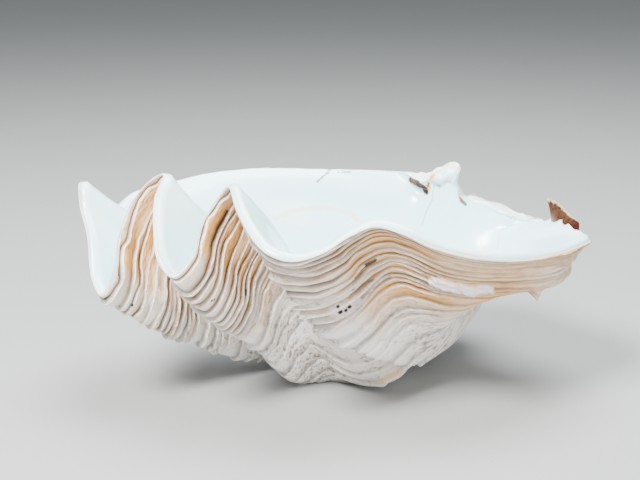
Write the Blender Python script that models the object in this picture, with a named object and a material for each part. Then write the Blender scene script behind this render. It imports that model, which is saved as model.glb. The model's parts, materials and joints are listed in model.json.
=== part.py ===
"""Half shell of a giant clam, lying on its back with the bowl up, at its real size.

The shell is one closed body. Its outside follows the way a clam grows: every earlier rim is the
present rim made smaller about the umbo, the old beak beside the hinge, and rolled down round the
hinge line. Its inside is a smooth bowl that keeps a wall between itself and the outside. A dried
flake of ligament stands on the hinge end of the rim, and a dark remnant lies in the hinge pit.

Lengths below are millimetres. +X runs along the shell to its long tip, +Y towards the hinge side,
+Z up, and Z = 0 is the surface that the shell rests on.
"""
import bpy
import bmesh
import numpy as np
from math import acos, atan2, pi
from mathutils import Vector
from mathutils.kdtree import KDTree

MM = 0.001
COLLECTION = "giant_clam_half_shell"

# Where the object's origin lies in the millimetre figures below: under the middle of its box.
ORIGIN = np.array([1.7, 12.8, 0.0])

# The rim, point by point, clockwise from the long tip. The front half waves up and down four times.
RIM_WING = [(225, -8, 144), (210, -30, 144), (190, -55, 145), (162, -82, 147), (133, -100, 151),
            (104, -110, 157), (76, -113, 166), (54, -110, 176)]
RIM_FOLD_4 = [(32, -106, 181), (12, -116, 176), (-9, -130, 166), (-34, -136, 161), (-53, -130, 166),
              (-68, -112, 179), (-79, -92, 195)]
RIM_FOLD_3 = [(-85, -78, 207), (-96, -72, 192), (-106, -82, 177), (-112, -96, 155), (-128, -106, 140),
              (-141, -96, 151), (-147, -74, 172), (-148, -50, 193)]
RIM_FOLD_2 = [(-143, -32, 207), (-157, -22, 199), (-172, -28, 179), (-180, -45, 154), (-182, -58, 132),
              (-194, -64, 111), (-204, -50, 122), (-211, -24, 152), (-220, -4, 175)]
RIM_FOLD_1 = [(-222, 8, 191), (-218, 26, 172), (-213, 46, 152), (-204, 66, 153)]
RIM_BACK = [(-187, 84, 165), (-154, 104, 170), (-122, 118, 175), (-74, 128, 177), (-30, 131, 177),
            (13, 130, 178), (57, 124, 178)]
RIM_HINGE = [(75, 119, 177), (91, 116, 176), (98, 115, 173.5), (105, 113, 170), (113, 112, 166),
             (121, 110, 162), (138, 109, 157), (157, 104, 150), (174, 95, 145), (187, 82, 143),
             (199, 58, 144), (213, 28, 146)]
RIM = np.array(RIM_WING + RIM_FOLD_4 + RIM_FOLD_3 + RIM_FOLD_2 + RIM_FOLD_1 + RIM_BACK + RIM_HINGE, float)

# Growth: the umbo that every rim shrinks to, the hinge line, and the roll in degrees for a rim at
# share s of the present one, as a polynomial in 1 - s. The left folds roll otherwise than the right.
UMBO = np.array([150.0, 120.0, 154.0])
HINGE_LINE = np.array([0.98, -0.20, 0.0])
LEFT_ROLL = (107.0, 29.0, 53.0)
RIGHT_ROLL = (6.0, 500.0, -380.0)
ROLL_CHANGES_X = (-140.0, -40.0)
WING_NARROWS = (0.55, 0.95)
WING_LEAST = 0.25

# The belly sags to where the shell rests, and its grooves fill up towards the umbo.
SAG_DEPTH = 49.0
SAG_AT = np.array([-17.0, 35.0])
SAG_REACH = np.array([100.0, 78.0])
SAG_BETWEEN = (0.70, 0.92)
GROOVE_FILL = 1.15
GROOVE_FILL_BETWEEN = (0.55, 0.90)
GROOVE_FILL_SPREAD = 2.2

# The bowl: the lip's width, the hinge plate's width and ends along X, and the floor's lowest point.
LIP = 5.0
HINGE_PLATE = 20.0
HINGE_PLATE_STARTS = (48.0, 112.0)
HINGE_PLATE_ENDS = (178.0, 205.0)
HINGE_BEHIND_Y = 40.0
BOWL_FLOOR = np.array([16.0, 46.0, 27.0])
FLOOR_BEND = np.array([0.7, 0.7, 0.12])

# The inside follows the outside down to a share of the rim, smoother and thicker as it goes.
# Behind and under the hinge it drops straight instead.
WALL_LOWEST = 0.62
WALL_DEPTH = 0.62
INSIDE_BLUR = 14.0
INSIDE_THICKENS = 56.0
RIDGES_KEPT = 0.8
RIDGE_BLUR = 1.3
STEEP_STARTS = (-60.0, 60.0)
STEEP_ENDS = (190.0, 215.0)
STEEP_DROP = 190.0
STEEP_LEAN = 0.1
LEVEL_BLUR = 1.0
INWARD_BLUR = 0.35
LEAST_BLUR = 0.05
STEEP_THINNER = 0.5
BELOW_RIM = 0.97
WALL_AT_RIM = 6.0
WALL_BELOW = 11.0
WALL_BELOW_FROM = 0.25
WALL_EASE = 4.0
WALL_PASSES = 6
FINE_PER_POINT = 8
FINE_LOWEST = 0.3
FINE_ROWS = 60

# Growth ledges: shares of the present rim at which an old edge stands proud of the wall. They fade
# out near the umbo, behind the hinge line and at the long tip.
LEDGES = (0.970, 0.935, 0.900, 0.862, 0.822, 0.780, 0.735, 0.688, 0.638, 0.585, 0.530, 0.470, 0.405)
LEDGE_PROUD = 2.6
LEDGE_NOTCH = 0.8
LEDGE_STEP = 0.010
LEDGE_FADES_NEAR_UMBO = (30.0, 150.0)
LEDGE_FADES_BEHIND_Y = (150.0, 90.0)
LEDGE_FADES_AT_TIP_X = (214.0, 184.0)
UMBO_ROWS = (0.10, 0.20, 0.30)
INNER_ROWS = 14
COLUMNS_PER_POINT = 2

# Local forms: centre, reach and shift of the surface there. Those of the hinge move both sides of the
# wall, and those of the belly and the wing move the outside, which the inside keeps its wall to.
HINGE_FORMS = [
    ((103, 114, 174), (9, 14, 30), (0, 0, 9)),
    ((113, 108, 168), (9, 20, 36), (0, 0, 19)),
    ((116, 110, 186), (11, 18, 10), (9, 0, 0)),
    ((84, 103, 172), (9, 8, 12), (0, 2, -9)),
    ((129, 101, 158), (7, 8, 12), (0, 4, -6)),
    ((78, 118, 180), (8, 8, 14), (0, 0, 3)),
]
WING_FORMS = [
    ((186, -32, 110), (46, 48, 24), (26, -8, -9)),
    ((136, 4, 62), (30, 48, 28), (-12, 8, 26)),
    ((162, -30, 92), (34, 26, 16), (0, 0, 12)),
    ((80, 30, 4), (16, 30, 20), (0, 0, 9)),
]

# The dried ligament: a flake standing on the rim and a remnant in the hinge pit. The flake's outline
# is a list of shares along its foot with heights above it.
SEAT_GAP = 0.6
FLAKE_FOOT = [(200, 44, 141.5), (222, 27, 143)]
FLAKE_OUTLINE = [(0.00, 0.0), (1.00, 0.0), (1.00, 8.5), (0.93, 11.0), (0.72, 12.5), (0.50, 17.5),
                 (0.25, 23.5), (0.02, 26.5), (-0.22, 28.0), (-0.26, 25.0), (-0.04, 19.0), (0.02, 11.0)]
FLAKE_THICK = 3.6
REMNANT_ENDS = [(75, 105.5, 174), (92, 97, 166)]
REMNANT_WIDE = 8.0
REMNANT_HIGH = 5.0
REMNANT_AROUND = 14
REMNANT_RINGS = 8

SHELL_WHITE = (0.80, 0.76, 0.70, 1.0)
SHELL_ROUGHNESS = 0.45
LIGAMENT_BROWN = (0.20, 0.08, 0.03, 1.0)
LIGAMENT_ROUGHNESS = 0.6
REMNANT_BROWN = (0.09, 0.035, 0.02, 1.0)
REMNANT_ROUGHNESS = 0.55


def placed(point):
    """A point given in these millimetres as a place in the object's own frame."""
    return Vector((np.asarray(point, float) - ORIGIN) * MM)


def unit(vectors):
    """Vectors of length one along the last axis."""
    return vectors / np.linalg.norm(vectors, axis=-1)[..., None]


def ramp(low, high, value):
    """A smooth rise from 0 at low to 1 at high."""
    share = np.clip((value - low) / (high - low), 0.0, 1.0)
    return share * share * (3.0 - 2.0 * share)


def round_spline(points, per_span):
    """A smooth closed curve through the points, as per_span samples from each to the next."""
    before, after, beyond = np.roll(points, 1, 0), np.roll(points, -1, 0), np.roll(points, -2, 0)
    knot_1 = np.linalg.norm(points - before, axis=1)[:, None, None] ** 0.5
    knot_2 = knot_1 + np.linalg.norm(after - points, axis=1)[:, None, None] ** 0.5
    knot_3 = knot_2 + np.linalg.norm(beyond - after, axis=1)[:, None, None] ** 0.5
    share = np.linspace(0.0, 1.0, per_span, endpoint=False)[None, :, None]
    t = knot_1 + (knot_2 - knot_1) * share
    p0, p1, p2, p3 = before[:, None], points[:, None], after[:, None], beyond[:, None]
    a1 = ((knot_1 - t) * p0 + t * p1) / knot_1
    a2 = ((knot_2 - t) * p1 + (t - knot_1) * p2) / (knot_2 - knot_1)
    a3 = ((knot_3 - t) * p2 + (t - knot_2) * p3) / (knot_3 - knot_2)
    b1 = ((knot_2 - t) * a1 + t * a2) / knot_2
    b2 = ((knot_3 - t) * a2 + (t - knot_1) * a3) / (knot_3 - knot_1)
    curve = ((knot_2 - t) * b1 + (t - knot_1) * b2) / (knot_2 - knot_1)
    return curve.reshape(-1, 3)


def blur_round(rows, columns):
    """Rows of points averaged along the closed loop with a bell curve of that many columns."""
    count = rows.shape[-2]
    away = np.minimum(np.arange(count), count - np.arange(count))
    bell = np.exp(-0.5 * (away / columns) ** 2)
    bell /= bell.sum()
    spectrum = np.fft.fft(rows, axis=-2) * np.fft.fft(bell)[:, None]
    return np.real(np.fft.ifft(spectrum, axis=-2))


def roll_angle(rim, shares):
    """How far each column has rolled down about the hinge line at each share, in radians."""
    x = 1.0 - shares
    left = LEFT_ROLL[0] * x + LEFT_ROLL[1] * x ** 2 + LEFT_ROLL[2] * x ** 3
    right = RIGHT_ROLL[0] * x + RIGHT_ROLL[1] * x ** 2 + RIGHT_ROLL[2] * x ** 3
    mix = ramp(*ROLL_CHANGES_X, rim[:, 0])
    return np.radians(left * (1.0 - mix) + right * mix)


def outer_rows(rim, shares):
    """The smooth outside: one loop of points for each share of the present rim."""
    line = unit(HINGE_LINE)
    outward = np.array([line[1], -line[0], 0.0])
    away = rim - UMBO
    along, out, up = away @ line, away @ outward, away[:, 2]
    s = np.asarray(shares, float)[:, None]
    angle = roll_angle(rim, s)
    rolled_out = s * (out * np.cos(angle) + up * np.sin(angle))
    rolled_up = s * (up * np.cos(angle) - out * np.sin(angle))
    narrowed = s * (WING_LEAST + (1.0 - WING_LEAST) * ramp(*WING_NARROWS, s))
    kept_along = np.where(along > 0, narrowed, s) * along
    rows = UMBO + kept_along[..., None] * line + rolled_out[..., None] * outward
    rows[..., 2] += rolled_up
    from_sag = (rows[..., :2] - SAG_AT) / SAG_REACH
    rows[..., 2] -= SAG_DEPTH * np.exp(-(from_sag ** 2).sum(-1)) * (1.0 - ramp(*SAG_BETWEEN, s))
    fill = GROOVE_FILL * (1.0 - ramp(*GROOVE_FILL_BETWEEN, s))[..., None]
    per_point = len(rim) / len(RIM)
    return rows + fill * (blur_round(rows, GROOVE_FILL_SPREAD * per_point) - rows)


def moved_by(forms, points):
    """Points pulled by each local form near them in turn."""
    moved = points.copy()
    for centre, reach, shift in forms:
        near = np.exp(-(((moved - np.array(centre)) / np.array(reach)) ** 2).sum(-1))
        moved += near[..., None] * np.array(shift, float)
    return moved


def face_middles(rows):
    """Middles and inward normals of the faces between rows of points."""
    low, high = rows[:-1], rows[1:]
    low_next, high_next = np.roll(low, -1, 1), np.roll(high, -1, 1)
    normals = np.cross(low_next - high, high_next - low)
    middles = (low + high + low_next + high_next) / 4.0
    return middles.reshape(-1, 3), unit(normals).reshape(-1, 3)


def hinge_share(rim):
    """How much of the hinge plate's width each column has, from 0 to 1."""
    behind = rim[:, 1] > HINGE_BEHIND_Y
    plate = ramp(*HINGE_PLATE_STARTS, rim[:, 0]) * (1.0 - ramp(*HINGE_PLATE_ENDS, rim[:, 0]))
    return (plate * behind)[:, None]


def steep_share(rim):
    """How much each column's inside drops straight down, as it does behind and under the hinge."""
    behind = rim[:, 1] > HINGE_BEHIND_Y
    steep = blur_round((ramp(*STEEP_STARTS, rim[:, 0]) * behind)[:, None], len(rim) / len(RIM))
    return steep * (1.0 - ramp(*STEEP_ENDS, rim[:, 0]))[:, None]


def bowl_rows(rim, depths):
    """The smooth inside: one loop for each depth from 0 at the lip to 1 at the floor's middle."""
    per_point = len(rim) / len(RIM)
    depths = np.asarray(depths, float)
    shares = 1.0 - (1.0 - WALL_LOWEST) * np.minimum(depths / WALL_DEPTH, 1.0)
    below = outer_rows(rim, [BELOW_RIM])[0] - rim
    tangent = np.roll(rim, -1, 0) - np.roll(rim, 1, 0)
    steep = steep_share(rim)
    level = unit(np.stack([tangent[:, 1], -tangent[:, 0], np.zeros(len(rim))], axis=1))
    level = unit(blur_round(level, LEVEL_BLUR * per_point))
    inward = unit(np.cross(below, tangent)) * (1.0 - steep) + level * steep
    inward = unit(blur_round(inward, INWARD_BLUR * per_point))
    plate = level * HINGE_PLATE * hinge_share(rim)
    drop = (1.0 - shares)[:, None, None] * STEEP_DROP
    straight = rim + plate + (level * STEEP_LEAN - np.array([0.0, 0.0, 1.0])) * drop
    base = outer_rows(rim, shares) * (1.0 - steep) + straight * steep
    base[depths == 0.0] = rim + inward * LIP + plate
    spread = np.maximum(LEAST_BLUR, INSIDE_BLUR * (1.0 - shares)) * per_point
    rows = np.array([blur_round(row, columns) for row, columns in zip(base, spread)])

    around = np.roll(rows, -1, 1) - np.roll(rows, 1, 1)
    downward = np.gradient(rows, axis=0)
    on_wall = depths <= WALL_DEPTH
    downward[~on_wall] = downward[on_wall][-1]
    inside = unit(np.cross(downward, around))
    lost = np.maximum(((base - rows) * inside).sum(-1), 0.0)[..., None]
    ridges = blur_round(lost, RIDGE_BLUR * per_point) * RIDGES_KEPT
    thicker = (1.0 - shares)[:, None, None] * INSIDE_THICKENS * (1.0 - STEEP_THINNER * steep)
    rows += inside * (ridges + thicker)

    foot = rows[on_wall][-1]
    bend = BOWL_FLOOR + (foot - BOWL_FLOOR) * FLOOR_BEND
    q = np.clip((depths - WALL_DEPTH) / (1.0 - WALL_DEPTH), 0.0, 1.0)[:, None, None]
    floor = (1.0 - q) ** 2 * foot + 2.0 * q * (1.0 - q) * bend + q * q * BOWL_FLOOR
    rows[~on_wall] = floor[~on_wall]
    return rows


def keep_wall(bowl, depths, outside):
    """The bowl moved inwards wherever the wall behind it would be too thin."""
    middles, normals = face_middles(outside)
    tree = KDTree(len(middles))
    for index, middle in enumerate(middles):
        tree.insert(middle, index)
    tree.balance()
    needed = WALL_AT_RIM + (WALL_BELOW - WALL_AT_RIM) * ramp(0.0, WALL_BELOW_FROM, np.asarray(depths))
    kept = bowl.copy()
    for _ in range(WALL_PASSES):
        for row in range(1, len(depths)):
            nearest = np.array([tree.find(point)[1] for point in kept[row]])
            wall = ((kept[row] - middles[nearest]) * normals[nearest]).sum(-1)
            short = needed[row] - wall
            push = 0.5 * (short + np.sqrt(short ** 2 + WALL_EASE ** 2))
            kept[row] += normals[nearest] * (push * ramp(-WALL_EASE, WALL_EASE, short))[:, None]
    return kept


def ledge_shares():
    """Shares of all outside rows from the umbo to the rim, and how proud each row stands."""
    shares = list(UMBO_ROWS)
    proud = [0.0] * len(UMBO_ROWS)
    for share in reversed(LEDGES):
        shares += [share, share + LEDGE_STEP]
        proud += [LEDGE_PROUD, -LEDGE_NOTCH]
    return np.array(shares + [1.0]), np.array(proud + [0.0])


def ledged(rows, proud):
    """Outside rows with their growth ledges raised."""
    along = np.roll(rows, -1, 1) - np.roll(rows, 1, 1)
    up = np.gradient(rows, axis=0)
    outward = unit(np.cross(up, along))
    fade = ramp(*LEDGE_FADES_NEAR_UMBO, np.linalg.norm(rows - UMBO, axis=-1))
    fade = fade * ramp(*LEDGE_FADES_BEHIND_Y, rows[..., 1]) * ramp(*LEDGE_FADES_AT_TIP_X, rows[..., 0])
    return rows + outward * (proud[:, None] * fade)[..., None]


def shell_rows():
    """All rows of the shell from its umbo over the rim to the bowl's floor, with the two poles."""
    rim = round_spline(RIM, COLUMNS_PER_POINT)
    shares, proud = ledge_shares()
    smooth = outer_rows(rim, shares)
    depths = np.linspace(0.0, 1.0, INNER_ROWS, endpoint=False)
    fine = outer_rows(round_spline(RIM, FINE_PER_POINT), np.linspace(FINE_LOWEST, 1.0, FINE_ROWS))
    bowl = keep_wall(bowl_rows(rim, depths), depths, moved_by(WING_FORMS, fine))
    outside = moved_by(WING_FORMS, ledged(smooth, proud))
    outside[-1] = rim
    outside[..., 2] = np.maximum(outside[..., 2], 0.0)
    rows = moved_by(HINGE_FORMS, np.concatenate([outside, bowl]))
    return rows, UMBO, BOWL_FLOOR


def sphere_pulled_to(rows, first_pole, last_pole):
    """A mesh made from a sphere whose rings become the rows and whose poles become the two ends."""
    rings, columns = rows.shape[:2]
    bm = bmesh.new()
    bmesh.ops.create_uvsphere(bm, u_segments=columns, v_segments=rings + 1, radius=1.0)
    for vert in bm.verts:
        ring = round(acos(max(-1.0, min(1.0, vert.co.z))) / pi * (rings + 1))
        column = round(atan2(vert.co.y, vert.co.x) / (2.0 * pi) * columns) % columns
        if ring == 0:
            place = first_pole
        elif ring == rings + 1:
            place = last_pole
        else:
            place = rows[ring - 1, column]
        vert.co = placed(place)
    if bm.calc_volume(signed=True) < 0.0:
        bmesh.ops.reverse_faces(bm, faces=bm.faces)
    return bm


def material(name, colour, roughness):
    """A Principled material of one colour."""
    made = bpy.data.materials.new(name)
    made.use_nodes = True
    shader = made.node_tree.nodes["Principled BSDF"]
    shader.inputs["Base Color"].default_value = colour
    shader.inputs["Roughness"].default_value = roughness
    shader.inputs["Metallic"].default_value = 0.0
    return made


def add_object(name, bm, collection, finish=None):
    """The bmesh as a named object in that collection."""
    mesh = bpy.data.meshes.new(name)
    bm.to_mesh(mesh)
    bm.free()
    made = bpy.data.objects.new(name, mesh)
    collection.objects.link(made)
    if finish:
        mesh.materials.append(finish)
    return made


def flake_mesh():
    """The flake of dried ligament: a thin plate with a ragged top that falls away along the rim."""
    start, end = (np.array(point, float) for point in FLAKE_FOOT)
    run = end - start
    across = unit(np.array([-run[1], run[0], 0.0])) * FLAKE_THICK / 2.0
    bm = bmesh.new()
    outline = [start + run * share + np.array([0.0, 0.0, height]) for share, height in FLAKE_OUTLINE]
    face = bm.faces.new([bm.verts.new(placed(point - across)) for point in outline])
    sweep = bmesh.ops.extrude_face_region(bm, geom=[face])
    moved = [item for item in sweep["geom"] if isinstance(item, bmesh.types.BMVert)]
    bmesh.ops.translate(bm, verts=moved, vec=Vector(across * 2.0) * MM)
    bmesh.ops.recalc_face_normals(bm, faces=bm.faces)
    return bm


def remnant_mesh():
    """The dark remnant of ligament in the hinge pit: a low flattened lump."""
    bm = bmesh.new()
    start, end = (np.array(point, float) for point in REMNANT_ENDS)
    length = np.linalg.norm(end - start)
    bmesh.ops.create_uvsphere(bm, u_segments=REMNANT_AROUND, v_segments=REMNANT_RINGS, radius=0.5)
    bmesh.ops.scale(bm, verts=bm.verts, vec=Vector((length, REMNANT_WIDE, REMNANT_HIGH)) * MM)
    turn = Vector(end - start).to_track_quat("X", "Z").to_matrix()
    bmesh.ops.rotate(bm, verts=bm.verts, cent=(0.0, 0.0, 0.0), matrix=turn)
    bmesh.ops.translate(bm, verts=bm.verts, vec=placed((start + end) / 2.0))
    return bm


def seat_on_shell(piece, cutter):
    """Cut from the piece what would touch the shell."""
    cut = piece.modifiers.new("seat", "BOOLEAN")
    cut.operation = "DIFFERENCE"
    cut.solver = "EXACT"
    cut.object = cutter


def build():
    """Make the shell and its two pieces of ligament."""
    for old in list(bpy.data.objects):
        bpy.data.objects.remove(old, do_unlink=True)
    parts = bpy.data.collections.new(COLLECTION)
    cutters = bpy.data.collections.new("cutters")
    bpy.context.scene.collection.children.link(parts)
    bpy.context.scene.collection.children.link(cutters)

    shell = add_object("shell", sphere_pulled_to(*shell_rows()), parts,
                       material("shell_white", SHELL_WHITE, SHELL_ROUGHNESS))
    shell.data.shade_smooth()

    seat = add_object("seat_cutter", sphere_pulled_to(*shell_rows()), cutters)
    grow = seat.modifiers.new("gap", "DISPLACE")
    grow.strength = SEAT_GAP * MM
    grow.mid_level = 0.0
    seat.hide_render = True
    seat.display_type = "WIRE"

    flake = add_object("ligament_flake", flake_mesh(), parts,
                       material("ligament", LIGAMENT_BROWN, LIGAMENT_ROUGHNESS))
    seat_on_shell(flake, seat)
    remnant = add_object("ligament_remnant", remnant_mesh(), parts,
                         material("dark_ligament", REMNANT_BROWN, REMNANT_ROUGHNESS))
    seat_on_shell(remnant, seat)


build()
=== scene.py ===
"""Looks of the giant clam half shell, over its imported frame.

The shell is drawn once more with the fine growth ledges, worn lumps, chips, crevices and colours that the
plain solid leaves out. Its outside is every earlier rim made smaller about the umbo and rolled down
round the hinge line, and its inside is a smooth bowl with a wall behind it, as the solid's are.

Lengths in the tables are millimetres in the growth frame. ORIGIN moves them to the part's own frame.
"""
from __future__ import annotations

import json
import logging
import math
from dataclasses import dataclass, field
from enum import Enum

import bmesh
import bpy
import numpy as np
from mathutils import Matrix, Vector
from mathutils.kdtree import KDTree

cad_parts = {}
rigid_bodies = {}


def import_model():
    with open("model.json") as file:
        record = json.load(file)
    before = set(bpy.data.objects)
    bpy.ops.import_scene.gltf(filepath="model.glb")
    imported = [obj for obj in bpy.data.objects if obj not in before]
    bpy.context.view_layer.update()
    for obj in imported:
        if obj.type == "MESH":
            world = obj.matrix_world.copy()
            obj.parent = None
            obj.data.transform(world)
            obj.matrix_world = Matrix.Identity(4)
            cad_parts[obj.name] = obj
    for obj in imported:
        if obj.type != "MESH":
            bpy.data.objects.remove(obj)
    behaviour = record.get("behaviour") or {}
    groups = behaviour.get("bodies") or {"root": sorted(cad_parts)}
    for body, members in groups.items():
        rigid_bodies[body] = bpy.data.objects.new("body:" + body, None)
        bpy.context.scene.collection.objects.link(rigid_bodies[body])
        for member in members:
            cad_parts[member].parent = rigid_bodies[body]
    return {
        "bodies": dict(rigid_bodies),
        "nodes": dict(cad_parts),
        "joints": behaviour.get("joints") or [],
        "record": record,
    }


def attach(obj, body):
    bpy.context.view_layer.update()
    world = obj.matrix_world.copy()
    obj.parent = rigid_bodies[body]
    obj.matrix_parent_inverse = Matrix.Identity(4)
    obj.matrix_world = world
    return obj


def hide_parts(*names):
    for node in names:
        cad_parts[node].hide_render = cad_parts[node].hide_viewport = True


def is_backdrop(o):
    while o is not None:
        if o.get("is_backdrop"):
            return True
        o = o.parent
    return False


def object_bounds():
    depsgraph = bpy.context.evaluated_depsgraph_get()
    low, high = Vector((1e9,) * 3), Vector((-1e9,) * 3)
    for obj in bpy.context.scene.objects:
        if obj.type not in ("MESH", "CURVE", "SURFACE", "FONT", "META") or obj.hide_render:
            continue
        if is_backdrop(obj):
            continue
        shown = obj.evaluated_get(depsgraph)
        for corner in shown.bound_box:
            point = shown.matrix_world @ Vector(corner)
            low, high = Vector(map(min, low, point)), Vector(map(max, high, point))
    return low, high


LOG = logging.getLogger("clam")
MM = 0.001
ORIGIN = np.array([1.7, 12.8, 0.0])
GROWTH_RUN = 330.0
STROKE_OUTER = 1.3
STROKE_INNER = 0.6
WOBBLE_SCALE = 260.0

Colour = tuple[float, float, float, float]
Triple = tuple[float, float, float]
Range = tuple[float, float]
Form = tuple[Triple, Triple, Triple]


class Mark(Enum):
    """What the shell's mesh tells its material at each point, by the name of its attribute."""

    GLOSS = "gloss"
    FRESH = "fresh"
    OCHRE = "ochre"
    # Painted shade under the ledges and in the gashes.
    CREVICE_SHADE = "crevice"
    EDGE = "edge"
    GRAIN = "grain"
    # Painted shade in the grooves and under the broad fold's edge.
    GROOVE_SHADE = "groove"
    # Painted highlight on the ridges, with the white of the broad fold's edge.
    CREST_WHITE_AND_HIGHLIGHT = "crest"
    # Painted shade line along the lip's inner edge.
    LIP_SHADE_LINE = "lip_line"
    CHIP = "chip"
    RISE = "rise"
    RUN = "run"


def unit(vectors: np.ndarray) -> np.ndarray:
    """Vectors of length one along the last axis."""
    return vectors / np.maximum(np.linalg.norm(vectors, axis=-1)[..., None], 1e-9)


def ramp(low: float, high: float, value: np.ndarray) -> np.ndarray:
    """A smooth rise from 0 at low to 1 at high."""
    share = np.clip((value - low) / (high - low), 0.0, 1.0)
    return share * share * (3.0 - 2.0 * share)


def bell(centre: float, width: float, value: np.ndarray) -> np.ndarray:
    """A smooth hump of height 1 at centre."""
    return np.exp(-(((value - centre) / width) ** 2))


def blur_round(rows: np.ndarray, columns: float) -> np.ndarray:
    """Averages rows of points along the closed loop.

    Args:
        rows: points, with the loop on the last axis but one.
        columns: width of the bell curve, in columns.

    Returns:
        The averaged rows, of the same shape.
    """
    count = rows.shape[-2]
    away = np.minimum(np.arange(count), count - np.arange(count))
    weights = np.exp(-0.5 * (away / columns) ** 2)
    weights /= weights.sum()
    spectrum = np.fft.fft(rows, axis=-2) * np.fft.fft(weights)[:, None]
    return np.real(np.fft.ifft(spectrum, axis=-2))


def lattice_noise(points: np.ndarray, cell: float, seed: int) -> np.ndarray:
    """Smooth seeded noise in space.

    Args:
        points: places in millimetres, with x, y and z on the last axis.
        cell: the size of its lumps, in millimetres.
        seed: picks one noise out of many.

    Returns:
        A value from -1 to 1 for each point.
    """
    scaled = points / cell
    base = np.floor(scaled).astype(np.int64)
    share = scaled - base
    share = share * share * (3.0 - 2.0 * share)
    total = np.zeros(points.shape[:-1])
    for corner in range(8):
        weight = np.ones(points.shape[:-1])
        key = np.full(points.shape[:-1], seed * 2654435761, np.int64)
        for axis, prime in enumerate((73856093, 19349663, 83492791)):
            step = (corner >> axis) & 1
            weight = weight * (share[..., axis] if step else 1.0 - share[..., axis])
            key = key ^ ((base[..., axis] + step) * prime)
        key = ((key & 0xFFFFFFFF) * 1274126177) & 0xFFFFFFFF
        key = ((key ^ (key >> 15)) * 2246822519) & 0xFFFFFFFF
        total += weight * (((key >> 11) & 0xFFFF) / 32767.5 - 1.0)
    return total


def loop_noise(arc: np.ndarray, cell: float, seed: int) -> np.ndarray:
    """Noise along the rim, from -1 to 1, bent into a circle so that its ends meet."""
    around = arc / arc[-1] * 2.0 * math.pi * len(arc) / (len(arc) + 1)
    radius = arc[-1] / (2.0 * math.pi)
    circle = np.stack([np.cos(around) * radius, np.sin(around) * radius, np.zeros_like(around)], -1)
    return lattice_noise(circle, cell, seed)


def arc_of(rim: np.ndarray) -> np.ndarray:
    """How far each sample of the rim lies from the first one, along the rim."""
    return np.concatenate([[0.0], np.cumsum(np.linalg.norm(np.diff(rim, axis=0), axis=1))])


def outward_of(rows: np.ndarray) -> np.ndarray:
    """The direction out of the wall at every point of the rows."""
    around = np.roll(rows, -1, 1) - np.roll(rows, 1, 1)
    return unit(np.cross(np.gradient(rows, axis=0), around))


def from_line(points: np.ndarray, start: np.ndarray, end: np.ndarray) -> np.ndarray:
    """Each point's distance from the straight line between two places."""
    run = end - start
    share = np.clip((points - start) @ run / (run @ run), 0.0, 1.0)
    return np.linalg.norm(points - start - share[..., None] * run, axis=-1)


def moved_by(forms: tuple[Form, ...], points: np.ndarray) -> np.ndarray:
    """Points pulled by each local form near them in turn."""
    moved = points.copy()
    for centre, reach, shift in forms:
        near = np.exp(-(((moved - np.array(centre)) / np.array(reach)) ** 2).sum(-1))
        moved += near[..., None] * np.array(shift, float)
    return moved


@dataclass(frozen=True)
class Noise:
    """One seeded noise: the size of its lumps in millimetres, its seed and its height."""

    cell: float
    seed: int
    height: float = 1.0

    def over(self, points: np.ndarray) -> np.ndarray:
        """The noise at places in space."""
        return lattice_noise(points, self.cell, self.seed) * self.height

    def along(self, arc: np.ndarray, step: int = 0) -> np.ndarray:
        """The noise along the rim, with a seed of its own for each step."""
        return loop_noise(arc, self.cell, self.seed + step) * self.height


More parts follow.
